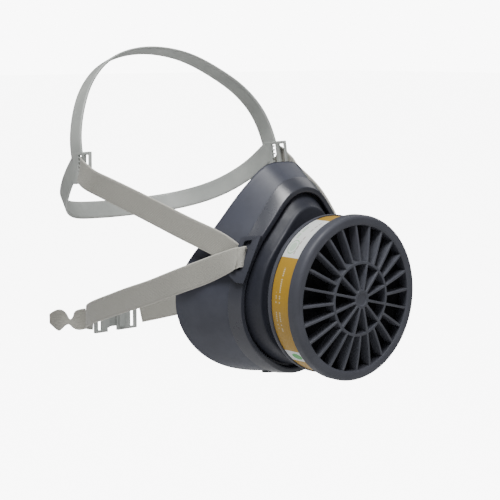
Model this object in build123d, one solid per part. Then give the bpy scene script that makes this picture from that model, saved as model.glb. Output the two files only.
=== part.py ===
from build123d import *
import math
import os

# A half-mask respirator with one screw-in canister, on its head harness.
# Origin: the face seal, on the canister's axis. The wearer looks along -Y, +Z is up.
# All sizes are in millimetres.

# ---- canister, turned about the Y axis; stations are Y values ----
RIM_R = 46.0
RIM_DEPTH = 6.7
FRONT_Y = -75.0
LABEL_R = 43.7
LABEL_FROM_Y = -67.4
LABEL_TO_Y = -53.2
BODY_R = 43.3
REAR_RING_R = 44.5
REAR_RING_Y = -51.0
BORE_R = 41.5
PACK_R = 41.2
SHOULDER_Y = -41.0
NECK_R = 22.4
NECK_BORE_R = 19.6
NECK_END_Y = -26.0

# ---- grille ----
GRILLE_R = 40.3
GRILLE_DEPTH = 6.0
GRILLE_SETBACK = 0.8
GRILLE_DOME = 4.5
SPOKE = 1.4
OUTER_SPOKES = 24
INNER_SPOKES = 12
SPOKE_PHASE = -1.0
INNER_PHASE = 14.0
MID_RING_R = 20.8
MID_RING_WALL = 1.6
HUB_R = 5.35
HUB_DISH_R = 3.6
HUB_DISH_DEPTH = 0.6

# ---- screw thread of short lugs along a helix ----
PITCH = 4.0
LUG_ARC = 40.0
LUG_STEP = 60.0
LUG_HALF = 0.6
LUG_R = 24.0
THREAD_START = 27.6
NECK_LUGS = 13
SOCKET_LUG_R = 22.9
SOCKET_BORE_R = 24.8
SOCKET_R = 27.0
SOCKET_FLANGE_R = 30.0
SOCKET_REAR_Y = -20.8
SOCKET_THREAD = 31.6

# ---- yoke lip plane, leaning back at the top ----
LIP_Y = -29.2
LIP_LEAN = 0.066
BOSS_Y = -37.5
REAR_Y = 16.0
YOKE_DEPTH = 8.0
YOKE_WALL = 1.2
FLANGE_FRONT = 4.0
FLANGE_BACK = 6.5
COWL_BACK = 9.2

# ---- facepiece ----
WALL = 2.5
SEAL_R = 110.0
SEAL_NOSE_Y = -12.5
SEAL_LEAN = 0.115
NOSE_Z = 70.0
SEAL_FLANGE = 1.8
SEAL_FLANGE_WIDTH = 9.0

# Half outlines (x, z) from top to bottom: the yoke lip, the cowl's boss and the seal rim.
LIP = [(0, 57), (10.5, 54), (18, 46.8), (24.5, 39), (32, 30), (38, 19.5), (42.3, 8),
       (43.6, -4), (41.5, -16), (36, -26.5), (28, -35), (18.5, -42), (9, -46.8), (0, -48.3)]
BOSS = [(0, 48.2), (8.5, 45.6), (15, 39.6), (20.8, 32.8), (27.5, 25), (33.3, 16.5), (36.9, 7),
        (38, -3), (36.4, -13.5), (31.4, -24), (24.6, -31.4), (16.8, -37), (8.5, -40.6), (0, -42)]
SEAL = [(0, 71.6), (11.5, 70.2), (22, 61.6), (31.5, 49.8), (41, 35.4), (50, 22.5), (56.5, 8.5),
        (58.2, -5), (56, -17.5), (50.5, -29), (41.5, -39), (29, -46.3), (14.5, -50.5), (0, -52.3)]

# ---- strap ears: a plate that stands off the yoke's flank, sketched in its own plane ----
EAR_AT = (-41.4, -28.0, 20.0)
EAR_BACKWARD = (-0.55, 1.0, 0.0)
EAR_OUTWARD = (-1.0, -0.55, 0.42)
EAR_PLATE = 1.6
EAR_ROOT = 6.0
EAR_OUTLINE = [(-8, -14.4), (2.3, -13.3), (3.9, -12), (4.6, -8.2), (8.4, 8.7), (3.4, 12.9), (-1, 12.9)]
EAR_SLOT = [(-2.4, -8.6), (1.9, -9.3), (6.1, 5.2), (1.9, 5.9)]
EAR_STRIP = [(-8, -14.4), (-4.5, -14), (-3.0, -8.6), (1.3, 5.9), (3.4, 12.9), (-1, 12.9)]
EAR_POCKET = [(-2.4, -10.4), (12, -10.4), (12, 8.2), (1.9, 8.2)]
EAR_WEB = [(-8, -14.4), (2.3, -13.3), (3.9, -12), (3.3, -11), (-7.2, -12.6)]

# ---- exhalation valve at the chin, sunk into the wall ----
CHIN_AT = (0.0, -8.6, -48.2)
CHIN_DOWN = (0.0, -0.155, -1.0)
CHIN_SINK = 1.8
CHIN_PAD_R = 9.6
CHIN_HOLE_R = 6.9
CHIN_COVER_R = 8.7

# ---- harness ----
STRAP_WIDTH = 14.0
STRAP_THICK = 0.9
EAR_WIDTHS = [11.5, 12.0, 12.8]
BAND_WIDTH = 12.5
BAND_THICK = 1.6
BUCKLE_THICK = 2.0
BUCKLE_LONG = 18.5
BUCKLE_HIGH = 18.5
BUCKLE_SLOT = 14.8
TEETH = 6
HEAD_CENTRE = Vector(0, 70, 62)
HEAD_AXES = (77.0, 92.0, 72.0)
# Centre lines on the wearer's right side, from front to back.
UPPER_STRAP = [(-47.2, -11.4, 28.2), (-55.4, 3.4, 35.2), (-65.6, 27.0, 45.6), (-72.6, 54.0, 55.4),
               (-75.2, 63.8, 59.1)]
LOWER_STRAP = [(-51.8, -6.4, 12.4), (-59.0, 9.0, 5.6), (-61.5, 31.0, -2.9), (-61.0, 52.0, -9.6),
               (-58.5, 76.0, -17.4), (-54.5, 96.0, -23.6), (-47.0, 115.0, -29.5), (-36.5, 131.0, -34.4),
               (-28.0, 141.0, -37.6), (-19.2, 148.4, -40.0)]
CROWN_BAND = [(-75.9, 81.6, 73.0), (-74.8, 84.4, 82.0), (-71.8, 87.6, 92.0), (-66.8, 91.6, 101.5),
              (-59.6, 96.8, 110.5), (-50.2, 102.5, 118.4), (-39.4, 107.2, 125.2), (-27.0, 110.2, 130.4),
              (-13.6, 112.2, 133.4), (0, 112.8, 134.4)]
NAPE_BAND = [(-75.9, 82.4, 69.4), (-73.0, 95.0, 58.6), (-67.6, 107.5, 49.5), (-59.4, 120.5, 42.0),
             (-48.0, 133.0, 36.6), (-33.8, 143.6, 33.2), (-17.4, 150.4, 31.6), (0, 152.6, 31.0)]
BUCKLE_AT = (-76.6, 75.6, 66.6)
BUCKLE_TOP = (-76.2, 76.6, 76.6)

# ---- nape clasp: an open-ended bar and a J hook that slides up off it ----
CLASP_Y = 150.0
CLASP_Z = -41.0
CLASP_HALF = 9.0
CLASP_PLATE = 2.2
CLASP_IN_X = 7.0
CLASP_OUT_X = 17.0
CLASP_BAR = 2.2


def front_plane(y):
    """Plane across the Y axis at y, facing forwards, with X to the side and Z up."""
    return Plane(origin=(0, y, 0), x_dir=(1, 0, 0), z_dir=(0, -1, 0))


def lip_plane(depth):
    """Plane parallel to the yoke lip, depth behind it."""
    facing = Vector(0, -1, -LIP_LEAN).normalized()
    return Plane(origin=Vector(0, LIP_Y, 0) - facing * depth, x_dir=(1, 0, 0), z_dir=facing)


def inset(half, gap):
    """Half outline moved inwards by gap along its normals."""
    moved = []
    for i, (x, z) in enumerate(half):
        before = half[i - 1] if i else (-half[1][0], half[1][1])
        after = half[i + 1] if i + 1 < len(half) else (-half[-2][0], half[-2][1])
        along = Vector(after[0] - before[0], after[1] - before[1]).normalized()
        moved.append((x + along.Y * gap, z - along.X * gap))
    return moved


def outline(half, plane):
    """Face inside a smooth closed outline that mirrors the half outline."""
    whole = half + [(-x, z) for x, z in reversed(half[1:-1])]
    edge = Spline(*[plane.from_local_coords((x, z, 0)) for x, z in whole], periodic=True)
    return Face(Wire([edge]))


def seal_y(x, z):
    """Y of the face seal at x, z: a leaning cylinder that the face fits into."""
    return SEAL_NOSE_Y + SEAL_LEAN * (NOSE_Z - z) + SEAL_R - math.sqrt(SEAL_R ** 2 - x ** 2)


def rear_outline():
    """Outline at REAR_Y whose straight lines from the lip pass through the seal rim."""
    half = []
    for (lip_x, lip_z), (x, z) in zip(LIP, SEAL):
        lip_y = LIP_Y - LIP_LEAN * lip_z
        share = (seal_y(x, z) - lip_y) / (REAR_Y - lip_y)
        half.append((lip_x + (x - lip_x) / share, lip_z + (z - lip_z) / share))
    return half


REAR = rear_outline()


def bowl(gap):
    """Solid inside the facepiece's flank, its surface moved inwards by gap."""
    return loft([outline(inset(LIP, gap), lip_plane(0)), outline(inset(REAR, gap), front_plane(REAR_Y))])


def slab(front, back):
    """Wide slab between two depths behind the lip."""
    return lip_plane(back) * Box(260, 260, back - front, align=(Align.CENTER, Align.CENTER, Align.MIN))


def slice_of(gap, front, back):
    """Straight prism of the inset lip outline between two depths."""
    return extrude(outline(inset(LIP, gap), lip_plane(back)), back - front, dir=lip_plane(0).z_dir)


def face_cylinder(radius):
    """The wearer's face as a leaning cylinder of the given radius."""
    lean = math.degrees(math.atan(SEAL_LEAN))
    centre_y = SEAL_NOSE_Y + SEAL_LEAN * NOSE_Z + SEAL_R
    return Pos(0, centre_y, 0) * Rot(lean, 0, 0) * Cylinder(radius, 400)


def turned(points):
    """Solid turned about the Y axis from (radius, y) points."""
    return revolve(make_face(Polyline(*points, close=True)), Axis.Y)


def ring(r_in, r_out, y_from, y_to):
    """Plain ring or disc about the Y axis."""
    return turned([(r_in, y_from), (r_out, y_from), (r_out, y_to), (r_in, y_to)])


def chin_disc(radius, low, high, inner=0.0):
    """Disc or ring on the exhalation valve's axis between two heights below its seat."""
    plane = Plane(origin=CHIN_AT, x_dir=(1, 0, 0), z_dir=CHIN_DOWN)
    disc = Cylinder(radius, high - low, align=(Align.CENTER, Align.CENTER, Align.MIN))
    if inner:
        disc -= Cylinder(inner, high - low, align=(Align.CENTER, Align.CENTER, Align.MIN))
    return plane * Pos(0, 0, low) * disc


def facepiece():
    """Rubber bowl with its turned-in front flange, face seal flange and chin valve pad."""
    outer = bowl(0)
    behind = slab(FLANGE_FRONT, 200)
    wall = (outer & behind) - bowl(WALL)
    front_flange = (outer & slab(FLANGE_FRONT, FLANGE_BACK)) - slice_of(6.9, 0, 12)
    seal_flange = (outer & face_cylinder(SEAL_R + SEAL_FLANGE)) - bowl(SEAL_FLANGE_WIDTH)
    pad = chin_disc(CHIN_PAD_R, -3.4, CHIN_SINK + 4) & outer
    body = wall + front_flange + seal_flange + pad
    body -= chin_disc(CHIN_COVER_R + 0.3, 0, 12)
    body -= chin_disc(CHIN_HOLE_R + 0.2, -9, 12)
    body -= chin_disc(CHIN_HOLE_R + 1.5, -9, -3.4)
    return body - face_cylinder(SEAL_R)


def ear(points, depth):
    """Prism of an ear sketch, cut into the wearer's right flank by depth."""
    plane = Plane(origin=EAR_AT, x_dir=EAR_BACKWARD, z_dir=EAR_OUTWARD)
    sketch = plane * make_face(Polyline(*points, close=True))
    return extrude(sketch, depth, dir=-plane.z_dir)


def yoke_frame():
    """Clamping ring over the facepiece's front edge, with the two slotted strap ears."""
    band = bowl(-YOKE_WALL) & slab(0, YOKE_DEPTH)
    right = ear(EAR_OUTLINE, EAR_PLATE) - ear(EAR_SLOT, EAR_PLATE)
    right += ear(EAR_STRIP, EAR_ROOT)
    right += ear(EAR_WEB, EAR_ROOT)
    body = band + right + mirror(right, Plane.YZ)
    pocket = ear(EAR_POCKET, EAR_ROOT) - ear(EAR_POCKET, EAR_PLATE)
    body -= pocket + mirror(pocket, Plane.YZ)
    body -= bowl(0) & slab(FLANGE_FRONT, 200)
    mouth = loft([outline(inset(LIP, 2.0), lip_plane(0)), outline(inset(LIP, 3.4), lip_plane(FLANGE_FRONT))])
    body -= mouth
    return body - slab(-40, 0)


def front_cowl():
    """Cowl that carries the socket: flank, boss face and rear flange behind the rubber."""
    flank = loft([outline(inset(LIP, 4.2), lip_plane(FLANGE_FRONT)), outline(BOSS, front_plane(BOSS_Y))])
    hollow = loft([outline(inset(LIP, 8.7), lip_plane(FLANGE_FRONT)),
                   outline(inset(BOSS, 2.6), front_plane(BOSS_Y + 2.5))])
    tube = slice_of(7.0, FLANGE_FRONT, COWL_BACK) - slice_of(8.7, FLANGE_FRONT - 1, COWL_BACK + 1)
    flange = slice_of(3.6, FLANGE_BACK + 0.1, COWL_BACK) - slice_of(8.7, FLANGE_BACK - 1, COWL_BACK + 1)
    body = flank - hollow + tube + flange
    return body - ring(0, SOCKET_R + 0.05, BOSS_Y - 2, BOSS_Y + 8)


def lug(r_in, r_out, travel, angle):
    """One thread lug, travel forward of the origin and turned by angle about -Y."""
    profile = [(r_in, -travel - LUG_HALF), (r_out, -travel - LUG_HALF / 2),
               (r_out, -travel + LUG_HALF / 2), (r_in, -travel + LUG_HALF)]
    piece = revolve(make_face(Polyline(*profile, close=True)), Axis.Y, revolution_arc=LUG_ARC)
    return Rot(0, -angle - LUG_ARC / 2, 0) * piece


def canister_socket():
    """Threaded socket with a front flange against the boss and a ledge for the valve seat."""
    body = turned([(SOCKET_BORE_R, BOSS_Y - 0.8), (SOCKET_FLANGE_R, BOSS_Y - 0.8), (SOCKET_FLANGE_R, BOSS_Y),
                   (SOCKET_R, BOSS_Y), (SOCKET_R, SOCKET_REAR_Y), (22.5, SOCKET_REAR_Y),
                   (22.5, SOCKET_REAR_Y - 1.2), (SOCKET_BORE_R, SOCKET_REAR_Y - 1.2)])
    for k in range(3):
        angle = 120.0 * k
        travel = SOCKET_THREAD + PITCH / 2 + PITCH * angle / 360
        profile = [(SOCKET_LUG_R, -travel - LUG_HALF / 2), (SOCKET_BORE_R + 0.3, -travel - LUG_HALF),
                   (SOCKET_BORE_R + 0.3, -travel + LUG_HALF), (SOCKET_LUG_R, -travel + LUG_HALF / 2)]
        piece = revolve(make_face(Polyline(*profile, close=True)), Axis.Y, revolution_arc=LUG_ARC)
        body += Rot(0, -angle - LUG_ARC / 2, 0) * piece
    return body


def inhalation_valve_seat():
    """Spoked disc at the bottom of the socket, with a stud that holds the flap."""
    rear = SOCKET_REAR_Y - 1.2
    body = ring(18.5, SOCKET_BORE_R - 0.1, rear - 2.0, rear)
    for k in range(6):
        spoke = Pos(9.8, rear - 1.3, 0) * Box(18.6, 1.4, 1.6)
        body += Rot(0, 60 * k, 0) * spoke
    body += ring(0, 3.0, rear - 2.0, rear)
    body += ring(0, 1.2, rear, rear + 2.2)
    return body


def inhalation_valve_flap():
    """Thin disc that lies on the rear of its seat and lifts off when air is drawn in."""
    rear = SOCKET_REAR_Y - 1.2
    return ring(1.6, 20.0, rear + 0.1, rear + 0.8)


def exhalation_valve_seat():
    """Seat clipped through the chin pad, with a cross web and a stud for the flap."""
    body = chin_disc(CHIN_HOLE_R, -4.6, 0.6, inner=CHIN_HOLE_R - 1.3)
    body += chin_disc(CHIN_HOLE_R + 1.2, -4.6, -3.6, inner=CHIN_HOLE_R - 1.3)
    plane = Plane(origin=CHIN_AT, x_dir=(1, 0, 0), z_dir=CHIN_DOWN)
    for k in range(2):
        body += plane * Pos(0, 0, -0.4) * Rot(0, 0, 90 * k) * Box(2 * CHIN_HOLE_R - 1.5, 1.2, 1.2)
    body += chin_disc(0.8, -0.6, 1.3)
    return body


def exhalation_valve_flap():
    """Thin disc over the seat's web, lifting outwards."""
    return chin_disc(CHIN_HOLE_R - 0.4, 0.7, 1.2, inner=1.1)


def exhalation_valve_cover():
    """Shallow vented cap around the seat."""
    body = chin_disc(CHIN_COVER_R, 0.1, 3.0, inner=CHIN_COVER_R - 1.2)
    body += chin_disc(CHIN_COVER_R, 2.3, 3.0)
    plane = Plane(origin=CHIN_AT, x_dir=(1, 0, 0), z_dir=CHIN_DOWN)
    for k in range(8):
        vent = Pos(4.4, 0, 2.6) * Box(4.6, 1.4, 2.0)
        body -= plane * Rot(0, 0, 45 * k) * vent
    return body


def canister_shell():
    """Canister body with its rear ring and sloping shoulder, open where the neck leaves it."""
    return turned([(BORE_R, FRONT_Y + 2), (BODY_R, FRONT_Y + 2), (BODY_R, LABEL_TO_Y + 0.2),
                   (REAR_RING_R, LABEL_TO_Y + 0.2), (REAR_RING_R, REAR_RING_Y), (43.6, REAR_RING_Y + 1.2),
                   (39.5, REAR_RING_Y + 2.8), (25, SHOULDER_Y - 0.2), (24.6, SHOULDER_Y), (NECK_R, SHOULDER_Y),
                   (NECK_R, SHOULDER_Y - 1), (38.5, REAR_RING_Y + 0.6), (BORE_R, REAR_RING_Y - 1)])


def canister_neck():
    """Hollow neck with the lugs of its screw thread."""
    body = ring(NECK_BORE_R, NECK_R, SHOULDER_Y - 2, NECK_END_Y)
    for k in range(NECK_LUGS):
        angle = LUG_STEP * k
        body += lug(NECK_R - 0.3, LUG_R, THREAD_START + PITCH * angle / 360, angle)
    return body


def grille_cap():
    """Front bezel with its domed grille: deep thin spokes, intermediate ring and dished hub."""
    rear = FRONT_Y + RIM_DEPTH
    body = turned([(GRILLE_R, FRONT_Y + 0.5), (GRILLE_R + 1.2, FRONT_Y), (RIM_R - 1.0, FRONT_Y),
                   (RIM_R, FRONT_Y + 1.0), (RIM_R, rear), (BODY_R + 0.05, rear), (BODY_R + 0.05, FRONT_Y + 1.9),
                   (BORE_R - 0.1, FRONT_Y + 1.9), (BORE_R - 0.1, rear), (GRILLE_R, rear)])
    edge = FRONT_Y + GRILLE_SETBACK
    peak = edge - GRILLE_DOME
    back = edge + GRILLE_DEPTH - 0.1
    mid = (peak + back) / 2
    ribs = ring(MID_RING_R - MID_RING_WALL, MID_RING_R, peak, back) + ring(0, HUB_R, peak, back)
    for count, phase, r_in, r_out in ((OUTER_SPOKES, SPOKE_PHASE, MID_RING_R - 0.3, GRILLE_R + 0.3),
                                      (INNER_SPOKES, INNER_PHASE, HUB_R - 0.4, MID_RING_R - MID_RING_WALL + 0.3)):
        spoke = Pos((r_in + r_out) / 2, mid, 0) * Box(r_out - r_in, back - peak, SPOKE)
        for k in range(count):
            ribs += Rot(0, phase + 360 * k / count, 0) * spoke
    dome_r = (GRILLE_R ** 2 + GRILLE_DOME ** 2) / (2 * GRILLE_DOME)
    front_ball = Pos(0, peak + dome_r, 0) * Sphere(dome_r)
    back_ball = Pos(0, peak + dome_r + back - edge, 0) * Sphere(dome_r)
    body += (ribs & front_ball) - back_ball
    return body - ring(0, HUB_DISH_R, peak - 1, peak + HUB_DISH_DEPTH)


def sieve(front):
    """Perforated disc that holds the sorbent in."""
    body = ring(0, PACK_R, front, front + 0.8)
    for count, radius in ((6, 9), (12, 18), (18, 27), (24, 36)):
        for k in range(count):
            hole = Pos(radius, front + 0.4, 0) * Rot(90, 0, 0) * Cylinder(1.8, 3)
            body -= Rot(0, 360 * k / count, 0) * hole
    return body


def head_normal(point):
    """Outward direction of the head at a point."""
    off = Vector(*point) - HEAD_CENTRE
    a, b, c = HEAD_AXES
    return Vector(off.X / a ** 2, off.Y / b ** 2, off.Z / c ** 2).normalized()


def ribbon(points, normals, widths, thick):
    """Flat ribbon through the points, lying square to the normals; the last width repeats."""
    points = [Vector(*p) for p in points]
    widths = widths + [widths[-1]] * (len(points) - len(widths))
    sections = []
    for i, point in enumerate(points):
        ahead = points[min(i + 1, len(points) - 1)] - points[max(i - 1, 0)]
        along = ahead.normalized()
        across = along.cross(normals[i]).normalized()
        plane = Plane(origin=point, x_dir=across, z_dir=along)
        sections.append(plane * Rectangle(widths[i], thick))
    return loft(sections, ruled=True)


def ear_point(backward, down, out):
    """Point in the model from a place on the right ear's plane."""
    return Plane(origin=EAR_AT, x_dir=EAR_BACKWARD, z_dir=EAR_OUTWARD).from_local_coords((backward, down, out))


def upper_strap():
    """Elastic from inside the ear slot, under the rear bar, to the cradle's buckle."""
    outward = Vector(*EAR_OUTWARD).normalized()
    points = [ear_point(3.0, -2.2, -2.1), ear_point(4.8, -2.6, -2.55), ear_point(7.4, -3.4, -2.55)] + UPPER_STRAP
    normals = [outward, outward, outward, Vector(-1, -0.42, 0.2), Vector(-1, -0.42, 0.1)]
    normals += [Vector(-1, -0.3, 0.05), Vector(-1, -0.12, 0.05), Vector(-1, -0.05, 0.05)]
    return ribbon(points, normals, EAR_WIDTHS + [STRAP_WIDTH], STRAP_THICK)


def lower_strap():
    """Elastic from the ear slot, over the rear bar, round the jaw to the nape clasp."""
    outward = Vector(*EAR_OUTWARD).normalized()
    points = [ear_point(1.2, -1.0, 1.2), ear_point(8.2, 1.0, 1.2)] + LOWER_STRAP
    normals = [outward, outward, Vector(-1, -0.5, 0.1), Vector(-1, -0.2, 0)]
    normals += [Vector(-1, 0.0, 0), Vector(-1, 0.08, 0), Vector(-1, 0.2, 0), Vector(-1, 0.35, 0)]
    normals += [Vector(-0.8, 0.55, 0), Vector(-0.7, 0.75, 0), Vector(-0.6, 0.8, 0), Vector(-0.45, 0.9, 0)]
    return ribbon(points, normals, EAR_WIDTHS[1:] + [STRAP_WIDTH], STRAP_THICK)


def head_cradle():
    """Moulded crown band and nape band joined by a slotted buckle above each ear."""
    body = None
    for band in (CROWN_BAND, NAPE_BAND):
        whole = band + [(-x, y, z) for x, y, z in reversed(band[:-1])]
        piece = ribbon(whole, [head_normal(p) for p in whole], [BAND_WIDTH], BAND_THICK)
        body = piece if body is None else body + piece
    out = head_normal(BUCKLE_AT)
    upward = (Vector(*BUCKLE_TOP) - Vector(*BUCKLE_AT)).normalized()
    plane = Plane(origin=BUCKLE_AT, x_dir=upward.cross(out), z_dir=out)
    forwards = 1 if plane.x_dir.Y < 0 else -1
    plate = plane * Box(BUCKLE_LONG, BUCKLE_HIGH, BUCKLE_THICK)
    window = plane * Pos(5.6 * forwards, 0, 0) * Box(4.4, BUCKLE_SLOT, 8)
    slot = plane * Pos(-1.4 * forwards, 0, 0) * Box(3.4, BUCKLE_SLOT, 8)
    buckle = plate - window - slot
    for k in range(TEETH):
        height = (k - (TEETH - 1) / 2) * BUCKLE_SLOT / TEETH
        buckle += plane * Pos(-2.6 * forwards, height, 0) * Box(1.4, 1.0, BUCKLE_THICK)
    return body + buckle + mirror(buckle, Plane.YZ)


def clasp_plate(side):
    """Plate of one clasp half with its strap slot; side is -1 right, 1 left."""
    centre_x = side * (CLASP_IN_X + CLASP_OUT_X) / 2
    plate = Pos(centre_x, CLASP_Y, CLASP_Z) * Box(CLASP_OUT_X - CLASP_IN_X, CLASP_PLATE, 2 * CLASP_HALF)
    slot = Pos(side * 13.2, CLASP_Y, CLASP_Z) * Box(3.2, 8, STRAP_WIDTH + 1)
    return plate - slot


def neck_clasp_loop():
    """Left half: a bar that stands up from a foot and is open at its top."""
    bottom = CLASP_Z - CLASP_HALF
    foot = Pos(4.1, CLASP_Y, bottom + 1.2) * Box(6.2, CLASP_PLATE, 2.4)
    bar = Pos(1 + CLASP_BAR / 2, CLASP_Y, CLASP_Z - 0.5) * Box(CLASP_BAR, CLASP_PLATE, 2 * CLASP_HALF - 1)
    return clasp_plate(1) + foot + bar


def neck_clasp_hook():
    """Right half: a J hook round the bar, in front of it, free to slide up."""
    height = 2 * CLASP_HALF - 4.0
    mid_z = CLASP_Z + 0.6
    profile = [(-7.5, -1.1), (-7.5, 3.2), (5.4, 3.2), (5.4, -3.4), (1.6, -3.4), (1.6, -1.8),
               (3.8, -1.8), (3.8, 1.6), (-5.5, 1.6), (-5.5, -1.1)]
    hook = extrude(make_face(Polyline(*profile, close=True)), height)
    return clasp_plate(-1) + Pos(0, CLASP_Y, mid_z - height / 2) * hook


def strap_tail():
    """Free end of the right lower strap beyond the clasp."""
    points = [(-24.5, 152.6, -38.5), (-28.5, 157.0, -39.0), (-33, 163.5, -39.6), (-37, 171.0, -40.2)]
    normals = [Vector(-0.8, -0.6, 0), Vector(-0.8, -0.6, 0.1), Vector(-0.8, -0.6, -0.1), Vector(-0.8, -0.6, 0)]
    return ribbon(points, normals, [STRAP_WIDTH - 1], STRAP_THICK)


def parts():
    """Every node of the model by name."""
    nodes = {
        "facepiece": facepiece(),
        "yoke_frame": yoke_frame(),
        "front_cowl": front_cowl(),
        "canister_socket": canister_socket(),
        "inhalation_valve_seat": inhalation_valve_seat(),
        "inhalation_valve_flap": inhalation_valve_flap(),
        "exhalation_valve_seat": exhalation_valve_seat(),
        "exhalation_valve_flap": exhalation_valve_flap(),
        "exhalation_valve_cover": exhalation_valve_cover(),
        "canister_gasket": ring(NECK_R + 0.5, 27.5, SHOULDER_Y + 0.1, BOSS_Y - 0.9),
        "canister_shell": canister_shell(),
        "canister_neck": canister_neck(),
        "canister_label": ring(BODY_R, LABEL_R, LABEL_FROM_Y, LABEL_TO_Y),
        "grille_cap": grille_cap(),
        "prefilter_pad": ring(0, PACK_R, -68.1, -65.6),
        "front_sieve": sieve(-65.5),
        "carbon_bed": ring(0, PACK_R, -64.6, -54.8),
        "rear_sieve": sieve(-54.7),
        "rear_dust_pad": ring(0, PACK_R - 0.6, -53.8, -52.2),
        "head_cradle": head_cradle(),
        "neck_clasp_loop": neck_clasp_loop(),
        "neck_clasp_hook": neck_clasp_hook(),
        "strap_tail": strap_tail(),
    }
    for name, strap in (("upper_strap", upper_strap()), ("lower_strap", lower_strap())):
        nodes[name + "_right"] = strap
        nodes[name + "_left"] = mirror(strap, Plane.YZ)
    return nodes


os.makedirs("parts", exist_ok=True)
for node, solid in parts().items():
    export_step(solid, f"parts/{node}.step")
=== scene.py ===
"""A half-mask respirator with one front canister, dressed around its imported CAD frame.

Lengths in the classes are millimetres in the model's own frame: the canister points along -Y, the wearer's
left is +X and +Z is up. Meshes are written in metres.
"""

import logging
import math
from dataclasses import dataclass
from enum import Enum
from typing import Callable, Sequence

import bmesh
import bpy
import numpy as np
from mathutils import Matrix, Vector, noise

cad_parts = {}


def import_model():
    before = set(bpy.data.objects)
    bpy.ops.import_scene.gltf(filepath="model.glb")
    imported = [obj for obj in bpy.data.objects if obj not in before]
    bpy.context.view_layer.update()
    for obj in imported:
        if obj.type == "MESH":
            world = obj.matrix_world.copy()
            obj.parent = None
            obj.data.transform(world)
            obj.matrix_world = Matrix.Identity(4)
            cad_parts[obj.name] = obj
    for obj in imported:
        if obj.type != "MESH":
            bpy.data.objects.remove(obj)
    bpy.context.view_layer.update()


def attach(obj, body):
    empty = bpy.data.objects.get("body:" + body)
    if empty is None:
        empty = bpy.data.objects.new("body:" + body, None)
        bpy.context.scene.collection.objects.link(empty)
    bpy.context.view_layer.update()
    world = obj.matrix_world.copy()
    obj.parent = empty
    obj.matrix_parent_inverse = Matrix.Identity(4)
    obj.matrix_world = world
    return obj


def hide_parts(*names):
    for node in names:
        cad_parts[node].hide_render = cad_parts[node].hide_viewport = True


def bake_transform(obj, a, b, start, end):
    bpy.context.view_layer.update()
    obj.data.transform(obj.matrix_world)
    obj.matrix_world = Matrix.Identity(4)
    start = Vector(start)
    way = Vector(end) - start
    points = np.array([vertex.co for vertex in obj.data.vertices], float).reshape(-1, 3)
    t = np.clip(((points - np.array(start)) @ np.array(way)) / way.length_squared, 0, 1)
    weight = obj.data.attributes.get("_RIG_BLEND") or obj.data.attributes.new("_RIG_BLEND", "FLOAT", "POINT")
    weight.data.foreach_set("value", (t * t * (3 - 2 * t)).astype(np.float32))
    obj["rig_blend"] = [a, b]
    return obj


MM = 0.001
LOG = logging.getLogger("respirator")
Point2 = tuple[float, float]
Colour = tuple[float, float, float]
Point3 = tuple[float, float, float]
Piece = bpy.types.Object


class Side(Enum):
    """The wearer's side; the value is the sign of X."""

    RIGHT = -1
    LEFT = 1

    @property
    def word(self) -> str:
        """The side's name as it stands in node names."""
        return self.name.lower()


# ---------------------------------------------------------------- mesh tools


def deselect() -> None:
    """Leave nothing selected and no mesh in edit mode."""
    if bpy.context.object and bpy.context.object.mode != "OBJECT":
        bpy.ops.object.mode_set(mode="OBJECT")
    bpy.ops.object.select_all(action="DESELECT")


def activate(obj: Piece) -> None:
    """Make obj the only selected object and the active one."""
    deselect()
    obj.select_set(True)
    bpy.context.view_layer.objects.active = obj


def smooth(obj: Piece, degrees: float = 35.0) -> Piece:
    """Shade obj smooth except at edges sharper than an angle.

    Args:
        obj: The mesh object.
        degrees: Edges that turn more than this stay sharp.

    Returns:
        The same object.
    """
    activate(obj)
    bpy.ops.object.shade_smooth_by_angle(angle=math.radians(degrees))
    return obj


def apply_modifier(obj: Piece, kind: str, **settings: object) -> None:
    """Add a modifier, set it and apply it.

    Args:
        obj: The mesh object.
        kind: Blender's name for the modifier's type.
        settings: Properties of the modifier by name.
    """
    activate(obj)
    modifier = obj.modifiers.new(kind.lower(), kind)
    for name, value in settings.items():
        setattr(modifier, name, value)
    bpy.ops.object.modifier_apply(modifier=modifier.name)


def ease_edges(obj: Piece, width: float, degrees: float = 35.0, segments: int = 2) -> Piece:
    """Round the sharp edges of obj as a mould would.

    Args:
        obj: The mesh object.
        width: Width of the rounding.
        degrees: Edges that turn more than this are rounded.
        segments: Faces across the rounding.

    Returns:
        The same object, shaded smooth.
    """
    apply_modifier(obj, "BEVEL", width=width * MM, segments=segments, limit_method="ANGLE",
                   angle_limit=math.radians(degrees), harden_normals=False)
    return smooth(obj)


def outward(obj: Piece) -> None:
    """Merge doubles and turn every face of obj outwards."""
    activate(obj)
    bpy.ops.object.mode_set(mode="EDIT")
    bpy.ops.mesh.select_all(action="SELECT")
    bpy.ops.mesh.remove_doubles(threshold=1e-6)
    bpy.ops.mesh.dissolve_degenerate(threshold=1e-7)
    bpy.ops.mesh.normals_make_consistent(inside=False)
    bpy.ops.object.mode_set(mode="OBJECT")


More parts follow.
